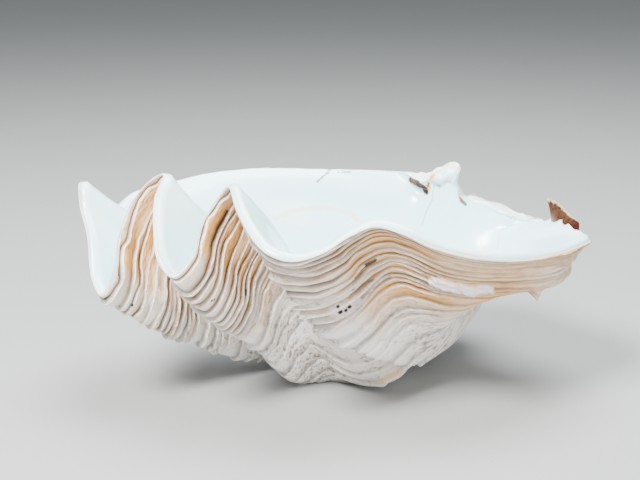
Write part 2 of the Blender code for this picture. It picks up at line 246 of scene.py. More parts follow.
@dataclass
class Growth:
    """The clam's growth: its present rim, and how every earlier rim and the bowl follow from it."""

    wing: list[Triple] = field(default_factory=lambda: [
        (225, -8, 144), (210, -30, 144), (190, -55, 145), (162, -82, 147), (133, -100, 151),
        (104, -110, 157), (76, -113, 166), (54, -110, 176)])
    fold_4: list[Triple] = field(default_factory=lambda: [
        (32, -106, 181), (12, -116, 176), (-9, -130, 166), (-34, -136, 161), (-53, -130, 166),
        (-68, -112, 179), (-79, -92, 195)])
    fold_3: list[Triple] = field(default_factory=lambda: [
        (-85, -78, 207), (-96, -72, 192), (-106, -82, 177), (-112, -96, 155), (-128, -106, 140),
        (-141, -96, 151), (-147, -74, 172), (-148, -50, 193)])
    fold_2: list[Triple] = field(default_factory=lambda: [
        (-143, -32, 207), (-157, -22, 199), (-172, -28, 179), (-180, -45, 154), (-182, -58, 132),
        (-194, -64, 111), (-204, -50, 122), (-211, -24, 152), (-220, -4, 175)])
    fold_1: list[Triple] = field(default_factory=lambda: [
        (-222, 8, 191), (-218, 26, 172), (-213, 46, 152), (-204, 66, 153)])
    back: list[Triple] = field(default_factory=lambda: [
        (-187, 84, 165), (-154, 104, 170), (-122, 118, 175), (-74, 128, 177), (-30, 131, 177),
        (13, 130, 178), (57, 124, 178)])
    hinge: list[Triple] = field(default_factory=lambda: [
        (75, 119, 177), (91, 116, 176), (98, 115, 173.5), (105, 113, 170), (113, 112, 166),
        (121, 110, 162), (138, 109, 157), (157, 104, 150), (174, 95, 145), (187, 82, 143),
        (199, 58, 144), (213, 28, 146)])

    umbo: Triple = (150.0, 120.0, 154.0)
    hinge_line: Triple = (0.98, -0.20, 0.0)
    left_roll: Triple = (107.0, 29.0, 53.0)
    right_roll: Triple = (6.0, 500.0, -380.0)
    roll_changes_x: Range = (-140.0, -40.0)
    wing_narrows: Range = (0.55, 0.95)
    wing_least: float = 0.25
    sag_depth: float = 49.0
    sag_at: Range = (-17.0, 35.0)
    sag_reach: Range = (100.0, 78.0)
    sag_between: Range = (0.70, 0.92)
    groove_fill: float = 1.15
    groove_fill_between: Range = (0.55, 0.90)
    groove_fill_spread: float = 2.2

    lip: float = 2.3
    hinge_plate: float = 20.0
    hinge_plate_starts: Range = (48.0, 112.0)
    hinge_plate_ends: Range = (178.0, 205.0)
    hinge_behind_y: float = 40.0
    bowl_floor: Triple = (16.0, 46.0, 27.0)
    floor_bend: Triple = (0.7, 0.7, 0.12)
    wall_lowest: float = 0.62
    wall_depth: float = 0.62
    inside_blur: float = 14.0
    inside_thickens: float = 56.0
    ridges_kept: float = 0.8
    ridge_blur: float = 1.3
    steep_starts: Range = (-60.0, 60.0)
    steep_ends: Range = (190.0, 215.0)
    steep_drop: float = 190.0
    steep_lean: float = 0.1
    level_blur: float = 1.0
    inward_blur: float = 0.35
    least_blur: float = 0.05
    steep_thinner: float = 0.5
    below_rim: float = 0.97
    wall_at_rim: float = 4.0
    wall_below: float = 11.0
    wall_below_from: float = 0.25
    wall_ease: float = 4.0
    wall_passes: int = 5

    def points(self) -> np.ndarray:
        """The rim's own points, clockwise from the long tip."""
        spans = (self.wing + self.fold_4 + self.fold_3 + self.fold_2 + self.fold_1 + self.back + self.hinge)
        return np.array(spans, float)

    def rim(self, per_span: int) -> np.ndarray:
        """The present rim as a smooth closed curve.

        Args:
            per_span: samples from each of the rim's points to the next.

        Returns:
            The samples, in millimetres.
        """
        points = self.points()
        before, after, beyond = np.roll(points, 1, 0), np.roll(points, -1, 0), np.roll(points, -2, 0)
        knot_1 = np.linalg.norm(points - before, axis=1)[:, None, None] ** 0.5
        knot_2 = knot_1 + np.linalg.norm(after - points, axis=1)[:, None, None] ** 0.5
        knot_3 = knot_2 + np.linalg.norm(beyond - after, axis=1)[:, None, None] ** 0.5
        share = np.linspace(0.0, 1.0, per_span, endpoint=False)[None, :, None]
        t = knot_1 + (knot_2 - knot_1) * share
        p0, p1, p2, p3 = before[:, None], points[:, None], after[:, None], beyond[:, None]
        a1 = ((knot_1 - t) * p0 + t * p1) / knot_1
        a2 = ((knot_2 - t) * p1 + (t - knot_1) * p2) / (knot_2 - knot_1)
        a3 = ((knot_3 - t) * p2 + (t - knot_2) * p3) / (knot_3 - knot_2)
        b1 = ((knot_2 - t) * a1 + t * a2) / knot_2
        b2 = ((knot_3 - t) * a2 + (t - knot_1) * a3) / (knot_3 - knot_1)
        return (((knot_2 - t) * b1 + (t - knot_1) * b2) / (knot_2 - knot_1)).reshape(-1, 3)

    def roll_angle(self, rim: np.ndarray, shares: np.ndarray) -> np.ndarray:
        """How far each column has rolled down about the hinge line at each share, in radians."""
        x = 1.0 - shares
        left = self.left_roll[0] * x + self.left_roll[1] * x ** 2 + self.left_roll[2] * x ** 3
        right = self.right_roll[0] * x + self.right_roll[1] * x ** 2 + self.right_roll[2] * x ** 3
        mix = ramp(*self.roll_changes_x, rim[:, 0])
        return np.radians(left * (1.0 - mix) + right * mix)

    def outside(self, rim: np.ndarray, shares: np.ndarray) -> np.ndarray:
        """The smooth outside.

        Args:
            rim: the present rim's samples.
            shares: for each row, or for each row and column, its size as a share of the present rim.

        Returns:
            Points as rows, columns and x, y, z.
        """
        line = unit(np.array(self.hinge_line))
        outward = np.array([line[1], -line[0], 0.0])
        away = rim - np.array(self.umbo)
        along, out, up = away @ line, away @ outward, away[:, 2]
        s = shares if shares.ndim == 2 else shares[:, None]
        angle = self.roll_angle(rim, s)
        rolled_out = s * (out * np.cos(angle) + up * np.sin(angle))
        rolled_up = s * (up * np.cos(angle) - out * np.sin(angle))
        narrowed = s * (self.wing_least + (1.0 - self.wing_least) * ramp(*self.wing_narrows, s))
        kept_along = np.where(along > 0, narrowed, s) * along
        rows = np.array(self.umbo) + kept_along[..., None] * line + rolled_out[..., None] * outward
        rows[..., 2] += rolled_up
        from_sag = (rows[..., :2] - np.array(self.sag_at)) / np.array(self.sag_reach)
        rows[..., 2] -= self.sag_depth * np.exp(-(from_sag ** 2).sum(-1)) * (1.0 - ramp(*self.sag_between, s))
        fill = self.groove_fill * (1.0 - ramp(*self.groove_fill_between, s))[..., None]
        per_point = len(rim) / len(self.points())
        return rows + fill * (blur_round(rows, self.groove_fill_spread * per_point) - rows)

    def hinge_share(self, rim: np.ndarray) -> np.ndarray:
        """How much of the hinge plate's width each column has, from 0 to 1."""
        behind = rim[:, 1] > self.hinge_behind_y
        plate = ramp(*self.hinge_plate_starts, rim[:, 0]) * (1.0 - ramp(*self.hinge_plate_ends, rim[:, 0]))
        return (plate * behind)[:, None]

    def steep_share(self, rim: np.ndarray) -> np.ndarray:
        """How much each column's inside drops straight down, as behind and under the hinge."""
        behind = rim[:, 1] > self.hinge_behind_y
        steep = (ramp(*self.steep_starts, rim[:, 0]) * behind)[:, None]
        steep = blur_round(steep, len(rim) / len(self.points()))
        return steep * (1.0 - ramp(*self.steep_ends, rim[:, 0]))[:, None]

    def bowl(self, rim: np.ndarray, depths: np.ndarray) -> np.ndarray:
        """The smooth inside.

        Args:
            rim: the present rim's samples.
            depths: one for each row, from 0 at the lip to 1 at the middle of the floor.

        Returns:
            Points as rows, columns and x, y, z.
        """
        per_point = len(rim) / len(self.points())
        shares = 1.0 - (1.0 - self.wall_lowest) * np.minimum(depths / self.wall_depth, 1.0)
        below = self.outside(rim, np.array([self.below_rim]))[0] - rim
        tangent = np.roll(rim, -1, 0) - np.roll(rim, 1, 0)
        steep = self.steep_share(rim)
        level = unit(np.stack([tangent[:, 1], -tangent[:, 0], np.zeros(len(rim))], axis=1))
        level = unit(blur_round(level, self.level_blur * per_point))
        inward = unit(np.cross(below, tangent)) * (1.0 - steep) + level * steep
        inward = unit(blur_round(inward, self.inward_blur * per_point))
        plate = level * self.hinge_plate * self.hinge_share(rim)
        drop = (1.0 - shares)[:, None, None] * self.steep_drop
        straight = rim + plate + (level * self.steep_lean - np.array([0.0, 0.0, 1.0])) * drop
        base = self.outside(rim, shares) * (1.0 - steep) + straight * steep
        base[0] = rim + inward * self.lip + plate
        spread = np.maximum(self.least_blur, self.inside_blur * (1.0 - shares)) * per_point
        rows = np.array([blur_round(row, columns) for row, columns in zip(base, spread)])

        around = np.roll(rows, -1, 1) - np.roll(rows, 1, 1)
        downward = np.gradient(rows, axis=0)
        on_wall = depths <= self.wall_depth
        downward[~on_wall] = downward[on_wall][-1]
        inside = unit(np.cross(downward, around))
        lost = np.maximum(((base - rows) * inside).sum(-1), 0.0)[..., None]
        ridges = blur_round(lost, self.ridge_blur * per_point) * self.ridges_kept
        thicker = (1.0 - shares)[:, None, None] * self.inside_thickens * (1.0 - self.steep_thinner * steep)
        rows += inside * (ridges + thicker)

        middle = np.array(self.bowl_floor)
        foot = rows[on_wall][-1]
        bend = middle + (foot - middle) * np.array(self.floor_bend)
        q = np.clip((depths - self.wall_depth) / (1.0 - self.wall_depth), 0.0, 1.0)[:, None, None]
        floor = (1.0 - q) ** 2 * foot + 2.0 * q * (1.0 - q) * bend + q * q * middle
        rows[~on_wall] = floor[~on_wall]
        return rows

    def keep_wall(self, bowl: np.ndarray, depths: np.ndarray, outside: np.ndarray) -> np.ndarray:
        """Moves the bowl inwards wherever the wall behind it would be too thin.

        Args:
            bowl: the smooth inside, as rows and columns of points.
            depths: one for each row.
            outside: the smooth outside that the wall is measured from.

        Returns:
            The bowl with its wall.
        """
        low, high = outside[:-1], outside[1:]
        low_next, high_next = np.roll(low, -1, 1), np.roll(high, -1, 1)
        normals = unit(np.cross(low_next - high, high_next - low)).reshape(-1, 3)
        middles = ((low + high + low_next + high_next) / 4.0).reshape(-1, 3)
        tree = KDTree(len(middles))
        for index, middle in enumerate(middles):
            tree.insert(middle, index)
        tree.balance()
        deeper = ramp(0.0, self.wall_below_from, depths)
        needed = self.wall_at_rim + (self.wall_below - self.wall_at_rim) * deeper
        kept = bowl.copy()
        for _ in range(self.wall_passes):
            for row in range(1, len(depths)):
                nearest = np.array([tree.find(point)[1] for point in kept[row]])
                wall = ((kept[row] - middles[nearest]) * normals[nearest]).sum(-1)
                short = needed[row] - wall
                push = 0.5 * (short + np.sqrt(short ** 2 + self.wall_ease ** 2))
                push = push * ramp(-self.wall_ease, self.wall_ease, short)
                kept[row] += normals[nearest] * push[:, None]
        return kept


@dataclass(frozen=True)
class Ledges:
    """The old shell edges that stand out of the wall, from the umbo to the rim."""

    umbo_rows: tuple[float, ...] = (0.04, 0.09, 0.14, 0.19, 0.24, 0.28, 0.32, 0.345)
    first: float = 0.36
    first_below: float = 0.01
    near_rim: tuple[float, ...] = (1.0, 0.989, 0.962, 0.950, 0.935)
    gap_high: float = 0.0125
    gap_low: float = 0.0170
    gap_changes: Range = (0.95, 0.75)
    gap_uneven: Range = (0.45, 1.65)
    phases: tuple[float, ...] = (0.0, 0.45, 0.86, 1.0)
    foot_phases: Range = (0.3, 0.0)
    lip_phases: Range = (0.84, 1.0)
    step: float = 0.0022
    waver: tuple[Noise, ...] = (Noise(24.0, 40, 0.6), Noise(9.0, 140, 0.4))
    waver_share: float = 0.32

    proud: float = 2.9
    proud_power: float = 1.5
    notch: float = 1.9
    notch_power: int = 3
    mean_boldness: float = 0.62
    boldness: tuple[Noise, ...] = (Noise(38.0, 240, 0.55), Noise(11.0, 340, 0.25))
    boldness_limits: Range = (0.06, 1.3)
    vigours: Range = (0.45, 1.5)
    low_worn: float = 0.55
    low_starts: Range = (0.84, 0.72)
    off_ribs: float = 0.65
    on_ribs: float = 0.75
    umbo_fade: Range = (30.0, 150.0)
    rim_fade: Range = (1.0, 0.985)
    rim_share: float = 0.25

    near_tones: tuple[float, ...] = (0.45, 1.0, 0.7, 1.0, 0.95)
    other_tones: Range = (0.35, 1.0)
    near_darks: Triple = (1.0, 0.8, 1.0)
    other_darks: Range = (0.55, 1.0)
    seed: int = 5
    tone_seed: int = 1
    dark_seed: int = 2
    vigour_seed: int = 10

    def chance(self, which: int) -> np.random.Generator:
        """Seeded random draws for one of the ledges' traits."""
        return np.random.default_rng(self.seed + which)

    def edges(self) -> list[float]:
        """Shares of the present rim at which an old edge stands, from the umbo to the rim."""
        chance = self.chance(0)
        shares = list(self.near_rim)
        while shares[-1] > self.first + 2.0 * self.gap_low:
            low = float(ramp(*self.gap_changes, np.array(shares[-1])))
            gap = self.gap_high + (self.gap_low - self.gap_high) * low
            shares.append(shares[-1] - gap * chance.uniform(*self.gap_uneven))
        return shares[::-1]

    def wavering(self, index: int, arc: np.ndarray) -> np.ndarray:
        """How far one old edge strays up and down along the rim, from -1 to 1."""
        return sum(noise.along(arc, index) for noise in self.waver)

    def rise(self, phase: float) -> float:
        """How far the wall stands out on its way from the foot of a ledge to its lip."""
        return self.proud * phase ** self.proud_power - self.notch * (1.0 - phase) ** self.notch_power

    def strength(self, index: int, edge: float, arc: np.ndarray, ribs: np.ndarray) -> np.ndarray:
        """How boldly one old edge stands out in each column.

        Args:
            index: which of the edges it is, counted from the umbo.
            edge: its share of the present rim.
            arc: each column's place along the rim.
            ribs: how near each column is to the middle of a rib.

        Returns:
            A factor for each column.
        """
        bold = self.mean_boldness + sum(noise.along(arc, index) for noise in self.boldness)
        bold *= 1.0 - self.low_worn * ramp(*self.low_starts, np.array(edge)) * (1.0 - ribs)
        bold *= float(self.chance(self.vigour_seed + index).uniform(*self.vigours))
        return np.clip(bold, *self.boldness_limits) * (self.off_ribs + self.on_ribs * ribs)

    def traits(self, which: int, others: Range, nearest: tuple[float, ...], count: int) -> np.ndarray:
        """One trait of every old edge, drawn at random but for the edges nearest the rim.

        Args:
            which: the trait's seed.
            others: the range of the random draws.
            nearest: the trait of the last edges, from the umbo to the rim.
            count: how many edges there are.

        Returns:
            The trait by edge.
        """
        drawn = self.chance(which).uniform(*others, count)
        drawn[-len(nearest):] = nearest
        return drawn

    def tones(self, count: int) -> np.ndarray:
        """How ochre each of the old edges is, from the umbo to the rim."""
        return self.traits(self.tone_seed, self.other_tones, self.near_tones[::-1], count)

    def darks(self, count: int) -> np.ndarray:
        """How dark the painted shade in the crevice under each of the old edges is, from the umbo to the rim.
        """
        return self.traits(self.dark_seed, self.other_darks, self.near_darks, count)


@dataclass(frozen=True)
class Crest:
    """The edge of the broad fold, which hangs over its left flank.

    Its path gives, by share of the present rim, the edge's place along the rim and how far it hangs.
    """

    path: tuple[Triple, ...] = (
        (0.62, 7.0, 0.0), (0.65, 7.6, 3.0), (0.68, 8.4, 8.0), (0.718, 9.4, 13.0), (0.756, 10.2, 16.0),
        (0.80, 11.1, 16.0), (0.84, 11.6, 15.0), (0.90, 12.2, 11.0), (0.96, 12.6, 5.0), (1.0, 12.8, 0.0))
    soft: float = 3.0
    soft_power: float = 1.5
    sharp: float = 0.30
    edge_starts: Range = (-1.5, -0.1)
    edge_ends: Range = (0.20, 0.02)
    flank_starts: Range = (0.02, 0.25)
    flank_ends: Range = (2.6, 1.4)

    def reading(self, share: np.ndarray, at: np.ndarray) -> tuple[np.ndarray, np.ndarray, float]:
        """How far each point lies beyond the edge, how far the edge hangs there, and the most it hangs."""
        shares, places, heights = np.array(self.path).T
        return at - np.interp(share, shares, places), np.interp(share, shares, heights), heights.max()

    def height(self, share: np.ndarray, at: np.ndarray) -> np.ndarray:
        """How far the fold hangs over, in millimetres."""
        away, height, _ = self.reading(share, at)
        steep = ramp(self.sharp, 0.0, away)
        gentle = np.clip(1.0 + away / self.soft, 0.0, 1.0) ** self.soft_power
        return height * np.where(away > 0.0, steep, gentle)

    def edge(self, share: np.ndarray, at: np.ndarray) -> np.ndarray:
        """How near each point is to the edge, from 0 to 1."""
        away, height, most = self.reading(share, at)
        return height / most * ramp(*self.edge_starts, away) * ramp(*self.edge_ends, away)

    def beyond(self, share: np.ndarray, at: np.ndarray) -> np.ndarray:
        """How much each point lies in the plain flank under the edge, from 0 to 1."""
        away, height, most = self.reading(share, at)
        return height / most * ramp(*self.flank_starts, away) * ramp(*self.flank_ends, away)


@dataclass(frozen=True)
class Plate:
    """The broken white plate under the long side."""

    start: Triple = (84, -80, 127)
    end: Triple = (124, -71, 117)
    reach: float = 7.5
    edge: float = 1.5
    ragged: Noise = Noise(6.0, 61, 2.0)
    proud: float = 3.4
    ribs: Noise = Noise(3.0, 900, 1.7)
    flattens: float = 0.6

    def share(self, outside: np.ndarray) -> np.ndarray:
        """How much each point of the outside belongs to the plate, from 0 to 1."""
        nearest = from_line(outside, np.array(self.start, float), np.array(self.end, float))
        return ramp(self.reach, self.reach - self.edge, nearest + self.ragged.over(outside))

    def raised(self, proud: np.ndarray, share: np.ndarray, arc: np.ndarray) -> np.ndarray:
        """How far the wall stands out with the ribbed plate on it."""
        ribbed = self.proud + self.ribs.along(arc)
        return proud + (ribbed - self.flattens * proud) * share


@dataclass(frozen=True)
class Wear:
    """What age has done: lumps all over, a worn rim beside the hinge and chips along the back."""

    lumps: tuple[Noise, ...] = (Noise(26.0, 11, 1.8), Noise(12.0, 12, 0.9))
    lumps_fade: Range = (0.99, 0.80)
    grain: Noise = Noise(5.5, 13, 0.4)
    grain_at_rim: float = 0.15
    wing: Range = (12.5, 9.5)
    wing_calmer: float = 0.6
    hinge_starts_x: Range = (62.0, 82.0)
    hinge_ends_x: Range = (202.0, 184.0)
    hinge_y: Range = (35.0, 60.0)
    hinge_z: Range = (122.0, 138.0)
    hinge_lumps: tuple[Noise, ...] = (Noise(10.0, 71, 2.6), Noise(4.8, 72, 1.3))
    hinge_rows: float = 9.0
    back_y: Range = (60.0, 90.0)
    chips: Noise = Noise(7.0, 73)
    chips_from: float = 0.35
    chips_deep: float = 2.0
    chip_rows: float = 3.0

    def height(self, smooth: np.ndarray, share: np.ndarray, at: np.ndarray) -> np.ndarray:
        """How far the worn lumps stand out of the wall, in millimetres."""
        lower = ramp(*self.lumps_fade, share)
        lumps = sum(noise.over(smooth) for noise in self.lumps)
        grain = self.grain.over(smooth) * (self.grain_at_rim + (1.0 - self.grain_at_rim) * lower)
        return (lumps * lower + grain) * (1.0 - self.wing_calmer * ramp(*self.wing, at))

    def eroded(self, points: np.ndarray, rim_row: int) -> np.ndarray:
        """The rows with the rim beside the hinge worn into lumps, and small chips along the back.

        Args:
            points: all rows.
            rim_row: which of them is the rim.

        Returns:
            The worn rows.
        """
        x, y, z = points[..., 0], points[..., 1], points[..., 2]
        from_rim = np.abs(np.arange(len(points)) - rim_row)[:, None]
        at_hinge = ramp(*self.hinge_starts_x, x) * ramp(*self.hinge_ends_x, x)
        at_hinge = at_hinge * ramp(*self.hinge_y, y) * ramp(*self.hinge_z, z)
        lumps = sum(noise.over(points) for noise in self.hinge_lumps)
        at_back = ramp(*self.back_y, y) * (1.0 - at_hinge)
        chips = np.minimum(self.chips.over(points) + self.chips_from, 0.0) * self.chips_deep
        worn = points.copy()
        worn[..., 2] += lumps * at_hinge * bell(0.0, self.hinge_rows, from_rim)
        worn[..., 2] += chips * at_back * bell(0.0, self.chip_rows, from_rim)
        return worn


@dataclass(frozen=True)
class Bands:
    """How the shell's colours run: fresh near the rim, with ochre bands, white lips, dark crevices painted as
    shade under the ledges, painted shade in the grooves and painted highlight on the ridges.

    Places are points along the rim. Where fresh colour starts and where it is whole are shares of the
    present rim, then how much lower they lie on the wing and on its plain part.
    """

    ochre_round: tuple[Range, ...] = (
        (0, 1.1), (5, 1.0), (8, 1.3), (10, 1.3), (12.2, 1.2), (13.2, 0.6), (15.3, 1.0), (17.6, 1.1),
        (19.5, 0.75), (21.5, 0.5), (23.3, 1.0), (26.2, 1.1), (28.3, 0.6), (31, 0.6), (36, 0.5), (55, 1.1))
    wing: Range = (11.5, 9.0)
    plain: Range = (8.5, 5.0)
    tip: Range = (53.0, 54.5)
    broad_fold: Range = (13.0, 12.0)
    fresh_starts: Triple = (0.77, 0.02, 0.03)
    fresh_whole: Triple = (0.90, 0.06, 0.03)
    streaks: Noise = Noise(45.0, 500)
    warmth: Range = (1.15, 0.5)
    plain_warmth: float = 0.92
    old_lips: float = 0.5
    plain_lips: float = 0.6
    crevice_uneven: float = 0.9
    old_crevices: float = 0.55
    flank_loses: float = 0.8
    plain_loses: float = 0.3
    broad_fold_loses: float = 0.1
    flank_loses_ochre: float = 0.85
    # Painted shade in the grooves and under the broad fold's edge, and painted highlight on the ridges.
    flank_shadow: float = 0.4
    groove_width: float = 1.3
    groove_shade_depths: Range = (1.0, 11.0)
    ridge_highlight_heights: Range = (1.0, 8.0)
    # Painted shade line along the lip's inner edge, uneven along the rim.
    lip_line: Noise = Noise(60.0, 700, 0.8)
    lip_shade_line_mean: float = 0.75

    def plainness(self, at: np.ndarray) -> np.ndarray:
        """How much each column belongs to the plain part of the wing, from 0 to 1."""
        return ramp(*self.plain, at) + ramp(*self.tip, at)

    def fresh(self, share: np.ndarray, at: np.ndarray) -> np.ndarray:
        """How fresh the colour of each point is, from 0 to 1."""
        wing = ramp(*self.wing, at) + ramp(*self.tip, at)
        low, high = (start - by_wing * wing - by_plain * self.plainness(at)
                     for start, by_wing, by_plain in (self.fresh_starts, self.fresh_whole))
        return ramp(low, high, share)

    def ochre(self, fresh: np.ndarray, tone: np.ndarray, streak: np.ndarray, at: np.ndarray) -> np.ndarray:
        """How ochre each point is, from 0 to 1.

        Args:
            fresh: how fresh the colour of each point is.
            tone: how ochre each row is.
            streak: the noise along each row.
            at: each column's place along the rim.

        Returns:
            The ochre by row and column.
        """
        stops = np.array(self.ochre_round)
        side = np.interp(at, stops[:, 0], stops[:, 1])
        mean, uneven = self.warmth
        warm = np.maximum(tone[:, None] * (mean + uneven * streak), self.plain_warmth * self.plainness(at))
        return np.clip(fresh * side * warm, 0.0, 1.0)

    def crevice(self, fresh: np.ndarray, dark: np.ndarray, streak: np.ndarray, at: np.ndarray,
                beyond: np.ndarray) -> np.ndarray:
        """How dark the painted shade at the foot of its ledge is at each point, from 0 to 1.

        Args:
            fresh: how fresh the colour of each point is.
            dark: how dark each row is.
            streak: the noise along each row.
            at: each column's place along the rim.
            beyond: how much each point lies in the flank under the broad fold's edge.

        Returns:
            The darkness by row and column.
        """
        depth = np.clip(dark[:, None] * (1.0 + self.crevice_uneven * streak), 0.0, 1.0)
        depth = depth * (self.old_crevices + (1.0 - self.old_crevices) * fresh)
        kept = (1.0 - self.flank_loses * beyond) * (1.0 - self.plain_loses * self.plainness(at))
        return depth * kept * (1.0 - self.broad_fold_loses * ramp(*self.broad_fold, at))


@dataclass
class ShellRows:
    """Rows of points over the outside with what each row and column knows about its ledge."""

    points: np.ndarray
    share: np.ndarray
    phase: np.ndarray
    ledge: np.ndarray
    gash: np.ndarray
    plate: np.ndarray


@dataclass
class ClamShell:
    """The half shell: its mesh, its marks and its material."""

    box: np.ndarray
    growth: Growth = field(default_factory=Growth)
    ledges: Ledges = Ledges()
    crest: Crest = Crest()
    plate: Plate = Plate()
    wear: Wear = Wear()
    bands: Bands = Bands()
    per_span: int = 8
    inner_rows: int = 36
    inner_spacing: float = 1.25
    wall_columns: int = 6
    wall_shares: tuple[float, float, int] = (0.3, 1.0, 60)
    lip_raised: float = 0.3
    rib_points: tuple[float, ...] = (28.3, 19.5, 11.0)
    rib_widths: tuple[float, ...] = (2.2, 2.2, 3.0)
    calm_starts: Range = (42.0, 44.0)
    calm_ends: Range = (55.0, 54.3)
    calmer: float = 0.9
    crest_bolder: float = 0.5
    crest_bolder_from: Range = (0.70, 0.82)
    flank_calmer: float = 0.75
    hinge_forms: tuple[Form, ...] = (
        ((103, 114, 174), (9, 14, 30), (0, 0, 9)),
        ((113, 108, 168), (9, 20, 36), (0, 0, 19)),
        ((116, 110, 186), (11, 18, 10), (9, 0, 0)),
        ((84, 103, 172), (9, 8, 12), (0, 2, -9)),
        ((129, 101, 158), (7, 8, 12), (0, 4, -6)),
        ((78, 118, 180), (8, 8, 14), (0, 0, 3)),
    )
    wing_forms: tuple[Form, ...] = (
        ((186, -32, 110), (46, 48, 24), (26, -8, -9)),
        ((136, 4, 62), (30, 48, 28), (-12, 8, 26)),
        ((162, -30, 92), (34, 26, 16), (0, 0, 12)),
        ((80, 30, 4), (16, 30, 20), (0, 0, 9)),
    )
    breaks: tuple[Form, ...] = (
        ((46, -5, 12), (9, 8, 6), (2, -3, -3)),
        ((58, 0, 18), (9, 8, 6), (3, -3, -3)),
        ((150, 118, 157), (16, 11, 10), (0, 0, -8)),
        ((173, -44, 107), (4.0, 8, 7), (1, 0, -12)),
    )
    gashes: tuple[tuple[Triple, ...], ...] = (
        ((-87, -64, 182), (-91, -70, 167), (-90, -71, 151), (-94, -78, 137), (-101, -87, 125),
         (-108, -94, 119)),
        ((-96, -72, 175), (-100, -80, 160), (-108, -90, 148), (-119, -98, 131)),
        ((-180, -49, 147), (-181, -58, 128), (-192, -63, 110)),
        ((5, -99, 129), (16, -94, 135), (26, -91, 145), (34, -86, 148)),
        ((16, -93, 125), (32, -80, 129)),
        ((23, -84, 115), (46, -72, 129)),
        ((-13, -82, 104), (3, -83, 105)),
    )
    gash_reach: float = 5.5
    gash_edge: float = 0.5
    gash_deep: float = 2.2

    def places(self, columns: int) -> np.ndarray:
        """Each column's place along the rim, counted in the rim's own points."""
        return np.arange(columns) / self.per_span

    def rib_share(self, at: np.ndarray) -> np.ndarray:
        """How near each place along the rim is to the middle of a rib, from 0 to 1."""
        shares = [bell(middle, width, at) for middle, width in zip(self.rib_points, self.rib_widths)]
        return np.max(shares, axis=0)

    def outside_rows(self, rim: np.ndarray) -> ShellRows:
        """Rows over the outside, set so that each old edge falls on a row of its own.

        Args:
            rim: the present rim's samples.

        Returns:
            The rows with their growth ledges raised.
        """
        ledges = self.ledges
        columns = len(rim)
        at = self.places(columns)
        arc = arc_of(rim)
        ribs = self.rib_share(at)
        calm = 1.0 - self.calmer * ramp(*self.calm_starts, at) * ramp(*self.calm_ends, at)
        shares = [np.full(columns, share) for share in ledges.umbo_rows]
        phases = [0.5] * len(shares)
        owners = [-1] * len(shares)
        prouds = [np.zeros(columns)] * len(shares)
        edges = ledges.edges()
        below = np.full(columns, ledges.first - ledges.first_below)
        for index, (before, edge) in enumerate(zip([ledges.first] + edges, edges)):
            waver = 0.0 if edge == edges[-1] else ledges.waver_share
            top = edge + waver * (edge - before) * ledges.wavering(index, arc)
            strength = ledges.strength(index, edge, arc, ribs) * calm
            for phase in ledges.phases:
                shares.append(below + ledges.step + (top - below - ledges.step) * phase)
                phases.append(phase)
                owners.append(index)
                prouds.append(ledges.rise(phase) * strength)
            below = top
        share, phase = np.array(shares), np.array(phases)
        smooth = self.growth.outside(rim, share)
        outward = outward_of(smooth)
        raised = self.wear.height(smooth, share, at) + self.crest.height(share, at)
        worn = smooth + outward * raised[..., None]
        gash = self.gash(worn)
        plate = self.plate.share(worn)
        proud = np.array(prouds) * self.liveliness(smooth, share, at)
        proud -= self.gash_deep * gash * ramp(*ledges.foot_phases, phase)[:, None]
        proud = self.plate.raised(proud, plate, arc)
        points = worn + outward * proud[..., None]
        points[-1] = rim
        return ShellRows(points, share, phase, np.array(owners), gash, plate)

    def liveliness(self, smooth: np.ndarray, share: np.ndarray, at: np.ndarray) -> np.ndarray:
        """How boldly the ledges stand out: less at the umbo and the rim, more at the broad fold's edge."""
        ledges = self.ledges
        near_umbo = ramp(*ledges.umbo_fade, np.linalg.norm(smooth - np.array(self.growth.umbo), axis=-1))
        near_rim = ledges.rim_share + (1.0 - ledges.rim_share) * ramp(*ledges.rim_fade, share)
        bold = 1.0 + self.crest_bolder * self.crest.edge(share, at) * ramp(*self.crest_bolder_from, share)
        return near_umbo * near_rim * bold * (1.0 - self.flank_calmer * self.crest.beyond(share, at))

    def gash(self, smooth: np.ndarray) -> np.ndarray:
        """How much each point belongs to one of the deep crevices, which are cut in and painted dark as
        shade, from 0 to 1.
        """
        paths = [np.array(path, float) for path in self.gashes]
        gaps = [from_line(smooth, start, end) for path in paths for start, end in zip(path, path[1:])]
        return ramp(self.gash_reach, self.gash_edge * self.gash_reach, np.min(gaps, axis=0))

    def rows(self) -> tuple[np.ndarray, dict[Mark, np.ndarray]]:
        """All rows of the shell from its umbo over the rim to the bowl's floor, and its marks."""
        rim = self.growth.rim(self.per_span)
        outer = self.outside_rows(rim)
        depths = np.linspace(0.0, 1.0, self.inner_rows, endpoint=False) ** self.inner_spacing
        wall_rows = self.growth.outside(self.growth.rim(self.wall_columns), np.linspace(*self.wall_shares))
        wall_rows = moved_by(self.wing_forms, wall_rows)
        bowl = self.growth.keep_wall(self.growth.bowl(rim, depths), depths, wall_rows)
        lip_middle = (rim + bowl[0]) / 2.0
        lip_middle[:, 2] += self.lip_raised
        outside = moved_by(self.breaks, moved_by(self.wing_forms, outer.points))
        outside[-1] = rim
        outside[..., 2] = np.maximum(outside[..., 2], 0.0)
        points = moved_by(self.hinge_forms, np.concatenate([outside, lip_middle[None], bowl]))
        points = self.wear.eroded(points, len(outside) - 1)
        return points, self.marks(outer, points)

